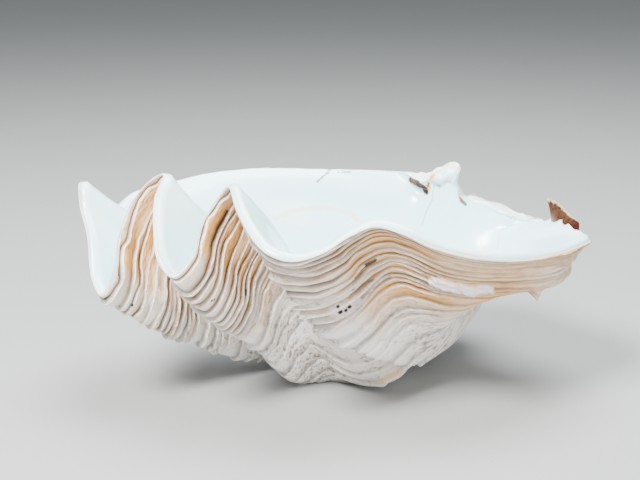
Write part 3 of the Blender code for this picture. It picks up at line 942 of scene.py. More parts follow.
    def marks(self, outer: ShellRows, points: np.ndarray) -> dict[Mark, np.ndarray]:
        """What the mesh tells the material at every point of the rows.

        Args:
            outer: the rows over the outside.
            points: all rows' points.

        Returns:
            For each mark its value by row and column.
        """
        bands, share = self.bands, outer.share
        outside, inside_rows = points[:len(share)], len(points) - len(share)
        at = self.places(points.shape[1])
        arc = arc_of(outside[-1])
        count = int(outer.ledge.max()) + 1
        tone = np.where(outer.ledge < 0, 0.0, self.ledges.tones(count)[outer.ledge])
        dark = np.where(outer.ledge < 0, 0.0, self.ledges.darks(count)[outer.ledge])
        streak = np.stack([bands.streaks.along(arc, int(ledge)) for ledge in outer.ledge])
        fresh = bands.fresh(share, at)
        beyond = self.crest.beyond(share, at)
        ochre = bands.ochre(fresh, tone, streak, at) * (1.0 - bands.flank_loses_ochre * beyond)
        lip = ramp(*self.ledges.lip_phases, outer.phase)[:, None]
        lip = lip * (bands.old_lips + (1.0 - bands.old_lips) * fresh)
        foot = ramp(*self.ledges.foot_phases, outer.phase)[:, None]
        # Painted shade: a near black line at the foot of each ledge, under its overhang, and along the
        # gashes.
        crevice = foot * np.maximum(bands.crevice(fresh, dark, streak, at, beyond), outer.gash)
        # Painted shade: grooves turn mauve by how far they sink below their neighbours, and the flank under
        # the broad fold's edge greys as its shadow.
        spread = blur_round(outside, bands.groove_width * self.per_span)
        sunk = ((spread - outside) * outward_of(outside)).sum(-1)
        groove = np.maximum(ramp(*bands.groove_shade_depths, sunk), bands.flank_shadow * beyond)
        # Painted highlight: ridges that stand out of their neighbours whiten; the broad fold's edge whitens
        # with its white lips.
        crest = np.maximum(ramp(*bands.ridge_highlight_heights, -sunk), self.crest.edge(share, at))
        radius = arc[-1] / (2.0 * math.pi)
        turn = at / at[-1] * 2.0 * math.pi
        level = np.full(share.shape, radius)
        grain = np.stack([np.cos(turn) * level, np.sin(turn) * level, share * GROWTH_RUN], -1)
        none, zeros = np.zeros(share.shape), np.zeros((inside_rows, len(at)))
        # Painted shade: a grey line along the lip's inner edge, where the bowl drops away under the lip.
        lip_line = zeros.copy()
        lip_line[1] = np.clip(bands.lip_shade_line_mean + bands.lip_line.along(arc), 0.0, 1.0)
        pairs = {
            Mark.GLOSS: (none, zeros + 1.0),
            Mark.FRESH: (fresh, zeros + 1.0),
            Mark.OCHRE: (ochre, zeros),
            Mark.CREVICE_SHADE: (crevice, zeros),
            Mark.EDGE: (lip * (1.0 - bands.plain_lips * bands.plainness(at)), zeros),
            Mark.GRAIN: (grain, np.repeat(grain[-1:], inside_rows, axis=0)),
            Mark.GROOVE_SHADE: (groove, zeros),
            Mark.CREST_WHITE_AND_HIGHLIGHT: (crest, zeros),
            Mark.LIP_SHADE_LINE: (none, lip_line),
            Mark.CHIP: (outer.plate, zeros),
        }
        return {mark: np.concatenate(pair) for mark, pair in pairs.items()}

    def mesh(self) -> bpy.types.Mesh:
        """The shell's mesh, from a sphere whose rings become the rows and whose poles the two ends."""
        points, marks = self.rows()
        rings, columns = points.shape[:2]
        bm = bmesh.new()
        bmesh.ops.create_uvsphere(bm, u_segments=columns, v_segments=rings + 1, radius=1.0)
        ring_of, column_of = [], []
        for vert in bm.verts:
            ring_of.append(round(math.acos(max(-1.0, min(1.0, vert.co.z))) / math.pi * (rings + 1)))
            column_of.append(round(math.atan2(vert.co.y, vert.co.x) / (2.0 * math.pi) * columns) % columns)
        ring, column = np.array(ring_of), np.array(column_of)
        row = np.clip(ring - 1, 0, rings - 1)
        places = points[row, column]
        places[ring == 0] = points[0].mean(0)
        places[ring == rings + 1] = np.array(self.growth.bowl_floor)
        places = np.clip((places - ORIGIN) * MM, self.box[0], self.box[1])
        for vert, place in zip(bm.verts, places):
            vert.co = Vector(place)
        if bm.calc_volume(signed=True) < 0.0:
            bmesh.ops.reverse_faces(bm, faces=bm.faces)
        mesh = mesh_from(bm, "clam_shell")
        for mark, values in marks.items():
            write_mark(mesh, mark, values[row, column])
        mesh.shade_smooth()
        return mesh

    def build(self) -> bpy.types.Object:
        """The dressed shell as an object on the frame."""
        piece = placed("clam_shell", self.mesh())
        piece.data.materials.append(ClamFinish().material())
        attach(piece, "root")
        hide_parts("shell")
        return piece


def mesh_from(bm: bmesh.types.BMesh, name: str) -> bpy.types.Mesh:
    """The named mesh made from a bmesh, which is freed."""
    mesh = bpy.data.meshes.new(name)
    bm.to_mesh(mesh)
    bm.free()
    return mesh


def write_mark(mesh: bpy.types.Mesh, mark: Mark, values: np.ndarray) -> None:
    """Stores a mark, a number or three for each of the mesh's points."""
    kind, slot = ("FLOAT_VECTOR", "vector") if values.ndim == 2 else ("FLOAT", "value")
    layer = mesh.attributes.new(mark.value, kind, "POINT")
    layer.data.foreach_set(slot, values.astype(np.float32).ravel())


def placed(name: str, data: bpy.types.ID) -> bpy.types.Object:
    """A new object with that data, linked to the scene."""
    made = bpy.data.objects.new(name, data)
    bpy.context.scene.collection.objects.link(made)
    return made


@dataclass
class NodeBoard:
    """A node tree with short ways to add nodes and to join them."""

    tree: bpy.types.NodeTree

    def node(self, kind: str, **settings: object) -> bpy.types.Node:
        """Adds a node.

        Args:
            kind: the node's type, such as ShaderNodeMath.
            settings: the node's own properties.

        Returns:
            The new node.
        """
        made = self.tree.nodes.new(kind)
        for name, value in settings.items():
            setattr(made, name, value)
        return made

    def feed(self, socket: bpy.types.NodeSocket, value: object) -> None:
        """Joins an output to the socket, or sets the socket to a plain value."""
        if isinstance(value, bpy.types.NodeSocket):
            self.tree.links.new(value, socket)
        else:
            socket.default_value = value

    def maths(self, operation: str, *values: object, clamp: bool = False) -> bpy.types.NodeSocket:
        """One step of arithmetic on up to three values."""
        made = self.node("ShaderNodeMath", operation=operation, use_clamp=clamp)
        for socket, value in zip(made.inputs, values):
            self.feed(socket, value)
        return made.outputs[0]

    def mark(self, mark: Mark) -> bpy.types.NodeSocket:
        """What the mesh says at each point."""
        return self.node("ShaderNodeAttribute", attribute_name=mark.value).outputs["Fac"]

    def mix(self, share: object, first: object, second: object) -> bpy.types.NodeSocket:
        """Two colours mixed by a share from 0 to 1."""
        made = self.node("ShaderNodeMix", data_type="RGBA", clamp_factor=True)
        self.feed(made.inputs["Factor"], share)
        self.feed(made.inputs[6], first)
        self.feed(made.inputs[7], second)
        return made.outputs[2]

    def noise(self, scale: object, detail: float = 2.0, rough: float = 0.5,
              vector: object = None) -> bpy.types.NodeSocket:
        """Noise from 0 to 1 on the object's own coordinates.

        Args:
            scale: lumps in a metre.
            detail: how many finer layers it has.
            rough: how strong the finer layers are.
            vector: other coordinates, if any.

        Returns:
            The noise's value.
        """
        made = self.node("ShaderNodeTexNoise")
        if vector is None:
            vector = self.node("ShaderNodeTexCoord").outputs["Object"]
        self.feed(made.inputs["Vector"], vector)
        self.feed(made.inputs["Scale"], scale)
        made.inputs["Detail"].default_value = detail
        made.inputs["Roughness"].default_value = rough
        return made.outputs["Fac"]

    def blend(self, first: object, second: object, share: float) -> bpy.types.NodeSocket:
        """Two values blended by a plain share of the second."""
        return self.maths("MULTIPLY_ADD", second, share, self.maths("MULTIPLY", first, 1.0 - share))

    def grain(self, scale: float, low: float, high: float) -> bpy.types.NodeSocket:
        """The shared grain of both finishes, from 0 to 1.

        Args:
            scale: lumps in a metre.
            low: the noise that becomes 0.
            high: the noise that becomes 1.

        Returns:
            The grain's value.
        """
        made = self.node("ShaderNodeGroup", node_tree=grain_group())
        made.inputs["Scale"].default_value = scale
        made.inputs["Low"].default_value = low
        made.inputs["High"].default_value = high
        return made.outputs["Value"]

    def strokes(self, strokes: tuple[Stroke, ...], wobble: object) -> bpy.types.NodeSocket:
        """How much a place is covered by any of the strokes.

        Args:
            strokes: where they run and how wide and strong they are.
            wobble: noise that makes their edges ragged.

        Returns:
            A value from 0 to 1.
        """
        total = None
        for stroke in strokes:
            made = self.node("ShaderNodeGroup", node_tree=stroke_group())
            for name, place in (("Start", stroke.start), ("End", stroke.end)):
                made.inputs[name].default_value = tuple((np.array(place, float) - ORIGIN) * MM)
            made.inputs["Radius"].default_value = stroke.radius * MM
            made.inputs["Ragged"].default_value = stroke.ragged * stroke.radius * MM
            self.feed(made.inputs["Wobble"], wobble)
            mask = self.maths("MULTIPLY", made.outputs["Mask"], stroke.strength)
            total = mask if total is None else self.maths("MAXIMUM", total, mask)
        return total

    def vector(self, operation: str, *values: object) -> bpy.types.Node:
        """One step of arithmetic on vectors."""
        made = self.node("ShaderNodeVectorMath", operation=operation)
        for socket, value in zip(made.inputs, values):
            self.feed(socket, value)
        return made

    def spread(self, value: object, low: object, high: object) -> bpy.types.NodeSocket:
        """The value stretched so that low becomes 0 and high becomes 1."""
        made = self.node("ShaderNodeMapRange", interpolation_type="SMOOTHSTEP")
        self.feed(made.inputs["Value"], value)
        self.feed(made.inputs["From Min"], low)
        self.feed(made.inputs["From Max"], high)
        return made.outputs["Result"]

    def bump(self, height: object, strength: float, distance: float) -> bpy.types.NodeSocket:
        """A surface direction roughened by a height, with the distance in metres."""
        made = self.node("ShaderNodeBump")
        made.inputs["Strength"].default_value = strength
        made.inputs["Distance"].default_value = distance
        self.feed(made.inputs["Height"], height)
        return made.outputs["Normal"]


def new_material(name: str) -> tuple[bpy.types.Material, NodeBoard, bpy.types.bpy_prop_collection]:
    """Starts a material: the material, its board and the inputs of its shader."""
    made = bpy.data.materials.new(name)
    made.use_nodes = True
    return made, NodeBoard(made.node_tree), made.node_tree.nodes["Principled BSDF"].inputs


def new_group(name: str, inputs: dict[str, str], output: str) -> tuple[NodeBoard, dict]:
    """Starts a shader node group.

    Args:
        name: the group's name.
        inputs: socket types by the names of the inputs.
        output: the name of its one output, a value.

    Returns:
        The group's board, and its input sockets by name.
    """
    tree = bpy.data.node_groups.new(name, "ShaderNodeTree")
    for title, kind in inputs.items():
        tree.interface.new_socket(name=title, in_out="INPUT", socket_type=kind)
    tree.interface.new_socket(name=output, in_out="OUTPUT", socket_type="NodeSocketFloat")
    board = NodeBoard(tree)
    given = board.node("NodeGroupInput").outputs
    return board, {title: given[title] for title in inputs}


def grain_group() -> bpy.types.NodeTree:
    """The group that makes worn grain: noise on the object's coordinates, stretched to 0 and 1."""
    name = "worn_grain"
    if name in bpy.data.node_groups:
        return bpy.data.node_groups[name]
    kinds = {"Scale": "NodeSocketFloat", "Low": "NodeSocketFloat", "High": "NodeSocketFloat"}
    board, given = new_group(name, kinds, "Value")
    noise = board.noise(scale=given["Scale"], detail=5.0, rough=0.62)
    grain = board.spread(noise, given["Low"], given["High"])
    board.feed(board.node("NodeGroupOutput").inputs["Value"], grain)
    return board.tree


def stroke_group() -> bpy.types.NodeTree:
    """The group that marks what lies near a straight stroke between two places."""
    name = "stroke"
    if name in bpy.data.node_groups:
        return bpy.data.node_groups[name]
    kinds = {"Start": "NodeSocketVector", "End": "NodeSocketVector", "Radius": "NodeSocketFloat",
             "Ragged": "NodeSocketFloat", "Wobble": "NodeSocketFloat"}
    board, given = new_group(name, kinds, "Mask")
    place = board.node("ShaderNodeTexCoord").outputs["Object"]
    away = board.vector("SUBTRACT", place, given["Start"]).outputs["Vector"]
    run = board.vector("SUBTRACT", given["End"], given["Start"]).outputs["Vector"]
    along = board.vector("DOT_PRODUCT", away, run).outputs["Value"]
    whole = board.vector("DOT_PRODUCT", run, run).outputs["Value"]
    share = board.maths("DIVIDE", along, whole, clamp=True)
    nearest = board.node("ShaderNodeVectorMath", operation="SCALE")
    board.feed(nearest.inputs[0], run)
    board.feed(nearest.inputs["Scale"], share)
    rest = board.vector("SUBTRACT", away, nearest.outputs["Vector"]).outputs["Vector"]
    gap = board.vector("LENGTH", rest).outputs["Value"]
    ragged = board.maths("MULTIPLY", board.maths("MULTIPLY_ADD", given["Wobble"], 2.0, -1.0), given["Ragged"])
    outer = board.maths("MULTIPLY", given["Radius"], STROKE_OUTER)
    inner = board.maths("MULTIPLY", given["Radius"], STROKE_INNER)
    mask = board.spread(board.maths("ADD", gap, ragged), outer, inner)
    board.feed(board.node("NodeGroupOutput").inputs["Mask"], mask)
    return board.tree


@dataclass(frozen=True)
class Stroke:
    """A straight mark on the shell from one place to another."""

    start: Triple
    end: Triple
    radius: float
    strength: float = 1.0
    ragged: float = 0.35


def chain(places: tuple[Triple, ...], radius: float, strength: float = 1.0) -> tuple[Stroke, ...]:
    """Strokes that join the places one after the other."""
    return tuple(Stroke(start, end, radius, strength) for start, end in zip(places, places[1:]))


DARK_STROKES = (
    Stroke((3.4, -102.5, 113.4), (3.7, -102.2, 113.8), 1.5),
    Stroke((5.3, -95.4, 106.7), (6.1, -95.0, 107.2), 1.7),
    Stroke((9.3, -94.7, 111.5), (9.9, -94.3, 111.8), 1.5),
    Stroke((12.7, -92.5, 110.0), (13.3, -92.1, 110.5), 1.6),
    Stroke((9.8, -94.4, 107.8), (10.4, -94.0, 108.1), 1.4),
    Stroke((26.2, -90.9, 144.6), (33.8, -86.4, 147.8), 2.0, 0.95, 0.6),
    Stroke((16.4, -97.8, 136.6), (26.2, -90.9, 144.6), 1.0, 0.7, 0.8),
    Stroke((15.5, -96.8, 126.1), (32.0, -83.7, 130.8), 1.2, 0.6, 0.8),
    Stroke((-99.8, -85.8, 113.4), (-99.6, -85.8, 113.6), 1.3),
    Stroke((-97.7, -83.2, 113.5), (-97.5, -83.2, 113.7), 1.2),
    Stroke((-170.5, -50.8, 98.4), (-170.3, -50.8, 98.6), 1.3),
    Stroke((-73.2, -56.8, 113.8), (-73.2, -58.4, 109.9), 1.0, 0.8),
)

BROWN_STROKES = (
    Stroke((-9.0, -101.2, 110.4), (2.8, -98.8, 110.2), 1.3, 0.7, 0.8),
    Stroke((23.3, -86.8, 116.2), (46.3, -70.9, 129.1), 1.6, 0.55, 0.9),
    Stroke((76.0, -81.6, 135.2), (82.0, -81.0, 134.4), 2.6, 0.5, 0.6),
)

SCALE_STROKES = (
    Stroke((43.0, -6.0, 14.0), (60.0, -4.6, 21.0), 3.4, 0.55, 0.8),
)

WORN_STROKES = (
    Stroke((3.0, -99.0, 109.5), (13.9, -94.0, 111.5), 7.0, 0.9, 0.5),
    Stroke((13.9, -94.0, 111.5), (19.0, -88.0, 114.4), 5.0, 0.7, 0.7),
)

BOWL_LINES = chain(((100.7, 107.9, 180.3), (97.0, 95.6, 170.3), (95.2, 93.1, 156.3), (89.7, 92.7, 144.7),
                    (86.0, 90.3, 132.6)), 0.8, 0.5) \
    + chain(((155.5, 78.4, 135.6), (156.3, 67.2, 124.0), (153.7, 60.1, 116.3)), 0.6, 0.35)

BOWL_SCAR = chain(((-52.9, 92.8, 137.8), (-39.6, 98.2, 143.4), (-20.6, 102.2, 146.3), (-1.4, 103.8, 145.9),
                   (17.8, 102.6, 141.3), (28.2, 98.8, 132.4)), 2.2, 0.6)

BOWL_OCHRE = (
    Stroke((91.6, 99.0, 166.0), (97.0, 105.0, 177.5), 3.4, 0.9, 0.8),
    Stroke((97.0, 105.0, 177.5), (103.6, 108.8, 182.0), 2.2, 0.6, 0.9),
    Stroke((119.9, 90.0, 167.0), (122.2, 88.9, 157.3), 2.2, 0.6, 0.7),
)

BOWL_DARK = (
    Stroke((92.0, 99.5, 168.5), (93.0, 99.5, 171.0), 1.4, 0.9),
    Stroke((76.1, 109.4, 172.1), (90.7, 97.7, 163.0), 2.8, 1.0, 0.6),
    Stroke((119.9, 87.5, 162.4), (122.2, 88.9, 157.3), 1.5, 0.85),
    Stroke((122.2, 88.9, 157.3), (126.5, 88.8, 153.0), 1.7, 0.9),
    Stroke((-13.9, 114.4, 169.1), (-4.2, 121.5, 176.4), 1.1, 0.8, 0.9),
    Stroke((-4.2, 121.5, 176.4), (-2.0, 124.0, 178.0), 1.8, 0.7, 0.9),
    Stroke((6.4, 122.3, 177.2), (18.0, 121.8, 177.3), 0.9, 0.6, 1.4),
)


@dataclass(frozen=True)
class ClamFinish:
    """Porcelain inside, chalky and banded with ochre outside."""

    porcelain: Colour = (0.62, 0.88, 0.93, 1.0)
    cream: Colour = (0.93, 0.93, 0.80, 1.0)
    chalk: Colour = (0.92, 0.86, 0.79, 1.0)
    # Mauve grey: the chalk's own tone, and also the painted shade in the grooves.
    mauve: Colour = (0.30, 0.225, 0.185, 1.0)
    ochre: Colour = (0.70, 0.27, 0.04, 1.0)
    tan: Colour = (0.91, 0.50, 0.13, 1.0)
    # White of the lips and the broken plate, also the painted highlight on the ridges.
    edge_white: Colour = (0.98, 0.95, 0.90, 1.0)
    # Near black: the painted shade under the ledges and in the gashes, and also the dark specks and stains.
    crevice: Colour = (0.025, 0.010, 0.005, 1.0)
    brown: Colour = (0.30, 0.13, 0.05, 1.0)
    worn_pink: Colour = (0.88, 0.78, 0.76, 1.0)
    # Grey of the thin cracks, and of the painted shade line along the lip.
    crack_and_lip_shade_grey: Colour = (0.33, 0.26, 0.26, 1.0)
    outside_roughness: float = 0.74
    inside_smoother: float = -0.50
    coat: float = 0.25
    coat_roughness: float = 0.12
    bump_strength: float = 0.9
    bump_distance: float = 0.0014
    line_stretch: Range = (0.10, 0.10)
    fresh_chalk: float = 0.65
    # How strongly the painted shade shows in the grooves.
    groove_shade_strength: float = 0.55
    edge_worn: float = 0.5
    # How strongly the ridges' painted highlight and the broad fold's white edge show.
    crest_white_and_highlight: float = 0.7
    # Shapes the painted shade under the ledges and in the gashes.
    crevice_power: float = 0.85
    clouds_cream: float = 0.4
    scar_tan: float = 0.5
    # Shape and strength of the painted shade line along the lip.
    lip_shade_line_power: float = 2.0
    lip_shade_line_grey: float = 0.6
    grain_height: float = 0.35
    wide_lines_height: float = 1.5
    close_lines_height: float = 0.6

    def material(self) -> bpy.types.Material:
        """The material for the whole shell."""
        made, board, inputs = new_material("clam_shell")
        gloss = board.mark(Mark.GLOSS)
        colour = board.mix(gloss, self.outside_colour(board), self.inside_colour(board))
        rough = board.maths("MULTIPLY_ADD", gloss, self.inside_smoother, self.outside_roughness)
        board.feed(inputs["Base Color"], colour)
        board.feed(inputs["Roughness"], rough)
        board.feed(inputs["Coat Weight"], board.maths("MULTIPLY", gloss, self.coat))
        inputs["Coat Roughness"].default_value = self.coat_roughness
        board.feed(inputs["Normal"], board.bump(self.height(board), self.bump_strength, self.bump_distance))
        return made

    def lines(self, board: NodeBoard, across: float) -> bpy.types.NodeSocket:
        """Uneven growth lines that follow the old rims.

        Args:
            board: the material's node tree.
            across: lines in a millimetre.

        Returns:
            A value from 0 to 1.
        """
        grain = board.node("ShaderNodeAttribute", attribute_name=Mark.GRAIN.value).outputs["Vector"]
        stretched = board.vector("MULTIPLY", grain, (*self.line_stretch, across)).outputs["Vector"]
        return board.noise(scale=1.0, detail=3.0, rough=0.6, vector=stretched)

    def outside_colour(self, board: NodeBoard) -> bpy.types.NodeSocket:
        """Chalk white and mauve grey, with ochre bands, white edges, dark crevices as painted shade, painted
        mauve shade in the grooves and painted highlight on the ridges.
        """
        fresh = board.maths("MULTIPLY", board.mark(Mark.FRESH), self.fresh_chalk)
        groove = board.maths("MULTIPLY", board.mark(Mark.GROOVE_SHADE), self.groove_shade_strength)
        clouds = board.noise(scale=30.0, detail=6.0, rough=0.62)
        lines = board.blend(clouds, self.lines(board, across=0.75), share=0.70)
        base = board.mix(board.spread(lines, low=0.36, high=0.52), self.mauve, self.chalk)
        base = board.mix(fresh, base, self.chalk)
        # Painted shade: mauve in the grooves and under the broad fold's edge.
        base = board.mix(groove, base, self.mauve)
        streaks = board.spread(self.lines(board, across=0.9), low=0.32, high=0.62)
        base = board.mix(board.mark(Mark.OCHRE), base, board.mix(streaks, self.ochre, self.tan))
        worn = board.grain(scale=90.0, low=0.30, high=0.55)
        kept = board.maths("MULTIPLY_ADD", worn, self.edge_worn, 1.0 - self.edge_worn)
        edge = board.maths("MULTIPLY", board.mark(Mark.EDGE), kept)
        # Painted highlight on the ridges, with the white along the broad fold's edge.
        crest = board.maths("MULTIPLY", board.mark(Mark.CREST_WHITE_AND_HIGHLIGHT), self.crest_white_and_highlight)
        base = board.mix(board.maths("MAXIMUM", edge, crest), base, self.edge_white)
        # Painted shade under the ledges' overhangs and in the gashes.
        dark = board.maths("POWER", board.mark(Mark.CREVICE_SHADE), self.crevice_power)
        base = board.mix(dark, base, self.crevice)
        broken = board.mix(board.grain(scale=210.0, low=0.40, high=0.60), self.worn_pink, self.edge_white)
        base = board.mix(board.mark(Mark.CHIP), base, broken)
        return self.stained(board, base, (
            (WORN_STROKES, self.worn_pink), (SCALE_STROKES, self.tan), (BROWN_STROKES, self.brown),
            (DARK_STROKES, self.crevice)))

    def inside_colour(self, board: NodeBoard) -> bpy.types.NodeSocket:
        """Porcelain with cream clouds, an old muscle scar, thin cracks, stains at the hinge and a painted
        shade line along the lip's inner edge.
        """
        wobble = board.noise(scale=WOBBLE_SCALE)
        clouds = board.spread(board.noise(scale=14.0, detail=3.0), low=0.45, high=0.75)
        clouds = board.maths("MULTIPLY", clouds, self.clouds_cream)
        scar = board.maths("MULTIPLY", board.strokes(BOWL_SCAR, wobble), self.scar_tan)
        # Painted shade line along the lip's inner edge.
        lip = board.maths("POWER", board.mark(Mark.LIP_SHADE_LINE), self.lip_shade_line_power)
        lip = board.maths("MULTIPLY", lip, self.lip_shade_line_grey)
        base = board.mix(clouds, self.porcelain, self.cream)
        base = board.mix(scar, base, self.tan)
        base = self.stained(board, base, ((BOWL_LINES, self.crack_and_lip_shade_grey),))
        base = board.mix(lip, base, self.crack_and_lip_shade_grey)
        return self.stained(board, base, ((BOWL_OCHRE, self.ochre), (BOWL_DARK, self.crevice)))

    def stained(self, board: NodeBoard, base: bpy.types.NodeSocket,
                stains: tuple[tuple[tuple[Stroke, ...], Colour], ...]) -> bpy.types.NodeSocket:
        """A colour with stains over it.

        Args:
            board: the material's node tree.
            base: the colour below.
            stains: groups of strokes, each with its colour.

        Returns:
            The stained colour.
        """
        wobble = board.noise(scale=WOBBLE_SCALE)
        for strokes, colour in stains:
            base = board.mix(board.strokes(strokes, wobble), base, colour)
        return base

    def height(self, board: NodeBoard) -> bpy.types.NodeSocket:
        """Fine lines and grain for the outside, nothing for the bowl."""
        grain = board.noise(scale=420.0, detail=4.0, rough=0.6)
        lumps = board.noise(scale=130.0, detail=4.0, rough=0.6)
        rough = board.maths("MULTIPLY_ADD", grain, self.grain_height, lumps)
        wide, close = self.lines(board, across=0.42), self.lines(board, across=1.0)
        rough = board.maths("MULTIPLY_ADD", wide, self.wide_lines_height, rough)
        rough = board.maths("MULTIPLY_ADD", close, self.close_lines_height, rough)
        return board.maths("MULTIPLY", rough, board.maths("SUBTRACT", 1.0, board.mark(Mark.GLOSS)))


@dataclass(frozen=True)
class LigamentFinish:
    """Dried horn-like ligament."""

    name: str
    dark: Colour
    light: Colour
    roughness: float = 0.5
    specular: float = 0.2
    bump_strength: float = 0.7
    bump_distance: float = 0.0008

    def material(self) -> bpy.types.Material:
        """The material for one piece of ligament."""
        made, board, inputs = new_material(self.name)
        fibres = board.grain(scale=160.0, low=0.35, high=0.65)
        board.feed(inputs["Base Color"], board.mix(fibres, self.dark, self.light))
        board.feed(inputs["Normal"], board.bump(fibres, self.bump_strength, self.bump_distance))
        inputs["Roughness"].default_value = self.roughness
        inputs["Specular IOR Level"].default_value = self.specular
        return made


@dataclass(frozen=True)
class FlakeFinish:
    """A curled flake: brown body, bleached upper edge, dark red end and a grey foot."""

    body: Colour = (0.085, 0.028, 0.008, 1.0)
    streak: Colour = (0.030, 0.009, 0.004, 1.0)
    bleached: Colour = (0.48, 0.31, 0.19, 1.0)
    dark_end: Colour = (0.045, 0.008, 0.006, 1.0)
    grey_foot: Colour = (0.22, 0.18, 0.155, 1.0)
    roughness: float = 0.55
    specular: float = 0.15
    bump_strength: float = 0.6
    bump_distance: float = 0.0006
    ragged: float = 0.12

    def material(self) -> bpy.types.Material:
        """The material for the flake."""
        made, board, inputs = new_material("ligament_flake")
        fibres = board.grain(scale=240.0, low=0.35, high=0.65)
        rise, run = board.mark(Mark.RISE), board.mark(Mark.RUN)
        foot = board.maths("MULTIPLY", board.spread(run, low=0.30, high=0.0),
                           board.spread(rise, low=0.60, high=0.10))
        top = board.maths("MULTIPLY_ADD", fibres, self.ragged, rise)
        base = board.mix(fibres, self.streak, self.body)
        base = board.mix(foot, base, self.grey_foot)
        base = board.mix(board.spread(run, low=0.76, high=0.92), base, self.dark_end)
        base = board.mix(board.spread(top, low=0.90, high=1.02), base, self.bleached)
        board.feed(inputs["Base Color"], base)
        board.feed(inputs["Normal"], board.bump(fibres, self.bump_strength, self.bump_distance))
        inputs["Roughness"].default_value = self.roughness
        inputs["Specular IOR Level"].default_value = self.specular
        return made


@dataclass
class Flake:
    """The dried flake that stands on the hinge end of the rim, hooked towards the bowl.

    Its top gives, by share along the foot, the share along the run to which the top leans, and the height.
    """

    start: Triple = (200.0, 44.0, 141.5)
    end: Triple = (222.0, 27.0, 143.0)
    top: tuple[Triple, ...] = (
        (0.0, -0.24, 28.0), (0.12, -0.10, 27.4), (0.25, 0.04, 26.0), (0.42, 0.25, 23.2), (0.60, 0.50, 17.4),
        (0.78, 0.72, 12.4), (0.92, 0.93, 10.8), (1.0, 1.0, 8.4))
    hook: float = 2.2
    thick_foot: float = 3.2
    thick_top: float = 1.5
    blunt: float = 0.4
    ripples: Noise = Noise(5.0, 81, 0.8)
    ripple_stretch: Triple = (1.0, 1.0, 0.5)
    columns: int = 40
    rings: int = 30

    def place(self, along: float, rise: float, side: float) -> np.ndarray:
        """One point of the flake.

        Args:
            along: its share along the foot.
            rise: its share of the height.
            side: which face it is on, from -1 to 1.

        Returns:
            The point, in millimetres.
        """
        start = np.array(self.start)
        run = np.array(self.end) - start
        across = unit(np.array([-run[1], run[0], 0.0]))
        alongs, leans, heights = np.array(self.top).T
        share = along + (np.interp(along, alongs, leans) - along) * rise ** self.hook
        thick = self.thick_foot + (self.thick_top - self.thick_foot) * rise
        place = start + run * share + across * 0.5 * thick * np.sign(side) * abs(side) ** self.blunt
        place[2] += np.interp(along, alongs, heights) * rise
        return place + across * self.ripples.over(place * np.array(self.ripple_stretch)) * rise

    def build(self) -> bpy.types.Object:
        """The flake as an object on the frame, from a sphere pressed flat and bent to the outline."""
        bm = bmesh.new()
        bmesh.ops.create_uvsphere(bm, u_segments=self.columns, v_segments=self.rings, radius=1.0)
        rises, runs = [], []
        for vert in bm.verts:
            flat = np.array([vert.co.x, vert.co.z])
            square = flat * np.linalg.norm(flat) / max(abs(flat[0]), abs(flat[1]), 1e-6)
            along, rise = (square + 1.0) / 2.0
            vert.co = Vector((self.place(along, rise, vert.co.y) - ORIGIN) * MM)
            rises.append(rise)
            runs.append(along)
        bmesh.ops.recalc_face_normals(bm, faces=bm.faces)
        mesh = mesh_from(bm, "clam_flake")
        write_mark(mesh, Mark.RISE, np.array(rises))
        write_mark(mesh, Mark.RUN, np.array(runs))
        mesh.shade_smooth()
        mesh.materials.append(FlakeFinish().material())
        piece = placed("clam_flake", mesh)
        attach(piece, "root")
        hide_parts("ligament_flake")
        return piece


@dataclass
class Remnant:
    """The dark remnant of ligament in the hinge pit: the solid with its own finish."""

    finish: LigamentFinish = LigamentFinish("ligament_remnant", (0.022, 0.010, 0.007, 1.0),
                                            (0.13, 0.05, 0.025, 1.0))

    def dress(self, frame: dict) -> None:
        """Gives the solid its material."""
        solid = frame["nodes"]["ligament_remnant"]
        solid.data.materials.clear()
        solid.data.materials.append(self.finish.material())


@dataclass(frozen=True)
class Lamp:
    """One soft square light: its place and side in metres, its power in watts and its tint."""

    name: str
    place: Triple
    size: float
    power: float
    colour: Triple


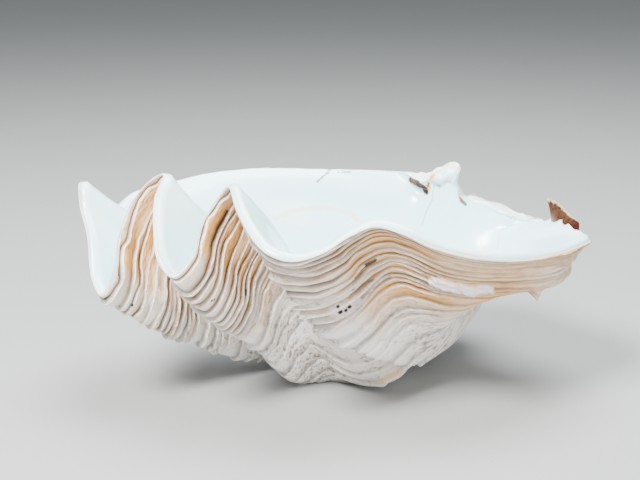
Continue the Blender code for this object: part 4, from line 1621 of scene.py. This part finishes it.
@dataclass
class Studio:
    """Pale floor, soft light and the camera at the photograph's angle."""

    target: Triple = (-12.7, -12.8, 142.0)
    distance: float = 1100.0
    elevation: float = math.radians(15.0)
    lens: float = 70.4
    sensor: float = 36.0
    floor_size: float = 24.0
    floor_grey: Colour = (0.30, 0.31, 0.31, 1.0)
    floor_roughness: float = 0.8
    aim: Triple = (0.0, 0.0, 0.12)
    lamps: tuple[Lamp, ...] = (
        Lamp("key", (-0.75, -1.05, 1.6), 0.6, 160.0, (1.0, 0.98, 0.95)),
        Lamp("fill", (0.9, -1.4, 0.5), 1.4, 26.0, (0.98, 0.99, 1.0)),
        Lamp("top", (0.2, 0.2, 1.8), 1.0, 90.0, (0.95, 0.98, 1.0)),
    )
    sky: Colour = (0.88, 0.92, 0.95, 1.0)
    sky_strength: float = 0.5

    def floor(self) -> None:
        """The plain pale floor."""
        bm = bmesh.new()
        bmesh.ops.create_grid(bm, x_segments=1, y_segments=1, size=self.floor_size / 2.0)
        floor = placed("floor", mesh_from(bm, "floor"))
        finish, _, inputs = new_material("floor")
        inputs["Base Color"].default_value = self.floor_grey
        inputs["Roughness"].default_value = self.floor_roughness
        floor.data.materials.append(finish)
        floor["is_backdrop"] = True

    def lights(self) -> None:
        """The soft lights and the pale surroundings."""
        for lamp in self.lamps:
            light = bpy.data.lights.new(lamp.name, "AREA")
            light.size = lamp.size
            light.energy = lamp.power
            light.color = lamp.colour
            made = placed(lamp.name, light)
            made.location = lamp.place
            made.rotation_euler = (Vector(self.aim) - Vector(lamp.place)).to_track_quat("-Z", "Y").to_euler()
        world = bpy.data.worlds.new("studio")
        world.use_nodes = True
        sky = world.node_tree.nodes["Background"]
        sky.inputs["Color"].default_value = self.sky
        sky.inputs["Strength"].default_value = self.sky_strength
        bpy.context.scene.world = world

    def camera(self) -> None:
        """The camera that sees the shell as the photograph does."""
        back = Vector((0.0, -math.cos(self.elevation), math.sin(self.elevation)))
        data = bpy.data.cameras.new("camera")
        data.lens = self.lens
        data.sensor_width = self.sensor
        made = placed("camera", data)
        made.location = (Vector(self.target) + back * self.distance) * MM
        made.rotation_euler = (-back).to_track_quat("-Z", "Y").to_euler()
        bpy.context.scene.camera = made

    def build(self) -> None:
        """Everything around the shell."""
        self.floor()
        self.lights()
        self.camera()


def as_lists(box: object) -> list[list[float]]:
    """A box's two corners as plain lists of numbers."""
    return [[float(value) for value in corner] for corner in box]


def main() -> None:
    """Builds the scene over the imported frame."""
    logging.basicConfig(level=logging.INFO, format="%(name)s: %(message)s")
    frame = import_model()
    solid_box = as_lists(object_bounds())
    Studio().build()
    shell = ClamShell(np.array(solid_box)).build()
    LOG.info("shell with %d faces", len(shell.data.polygons))
    flake = Flake().build()
    LOG.info("flake with %d faces", len(flake.data.polygons))
    Remnant().dress(frame)
    LOG.info("remnant dressed")


if __name__ == "__main__":
    main()
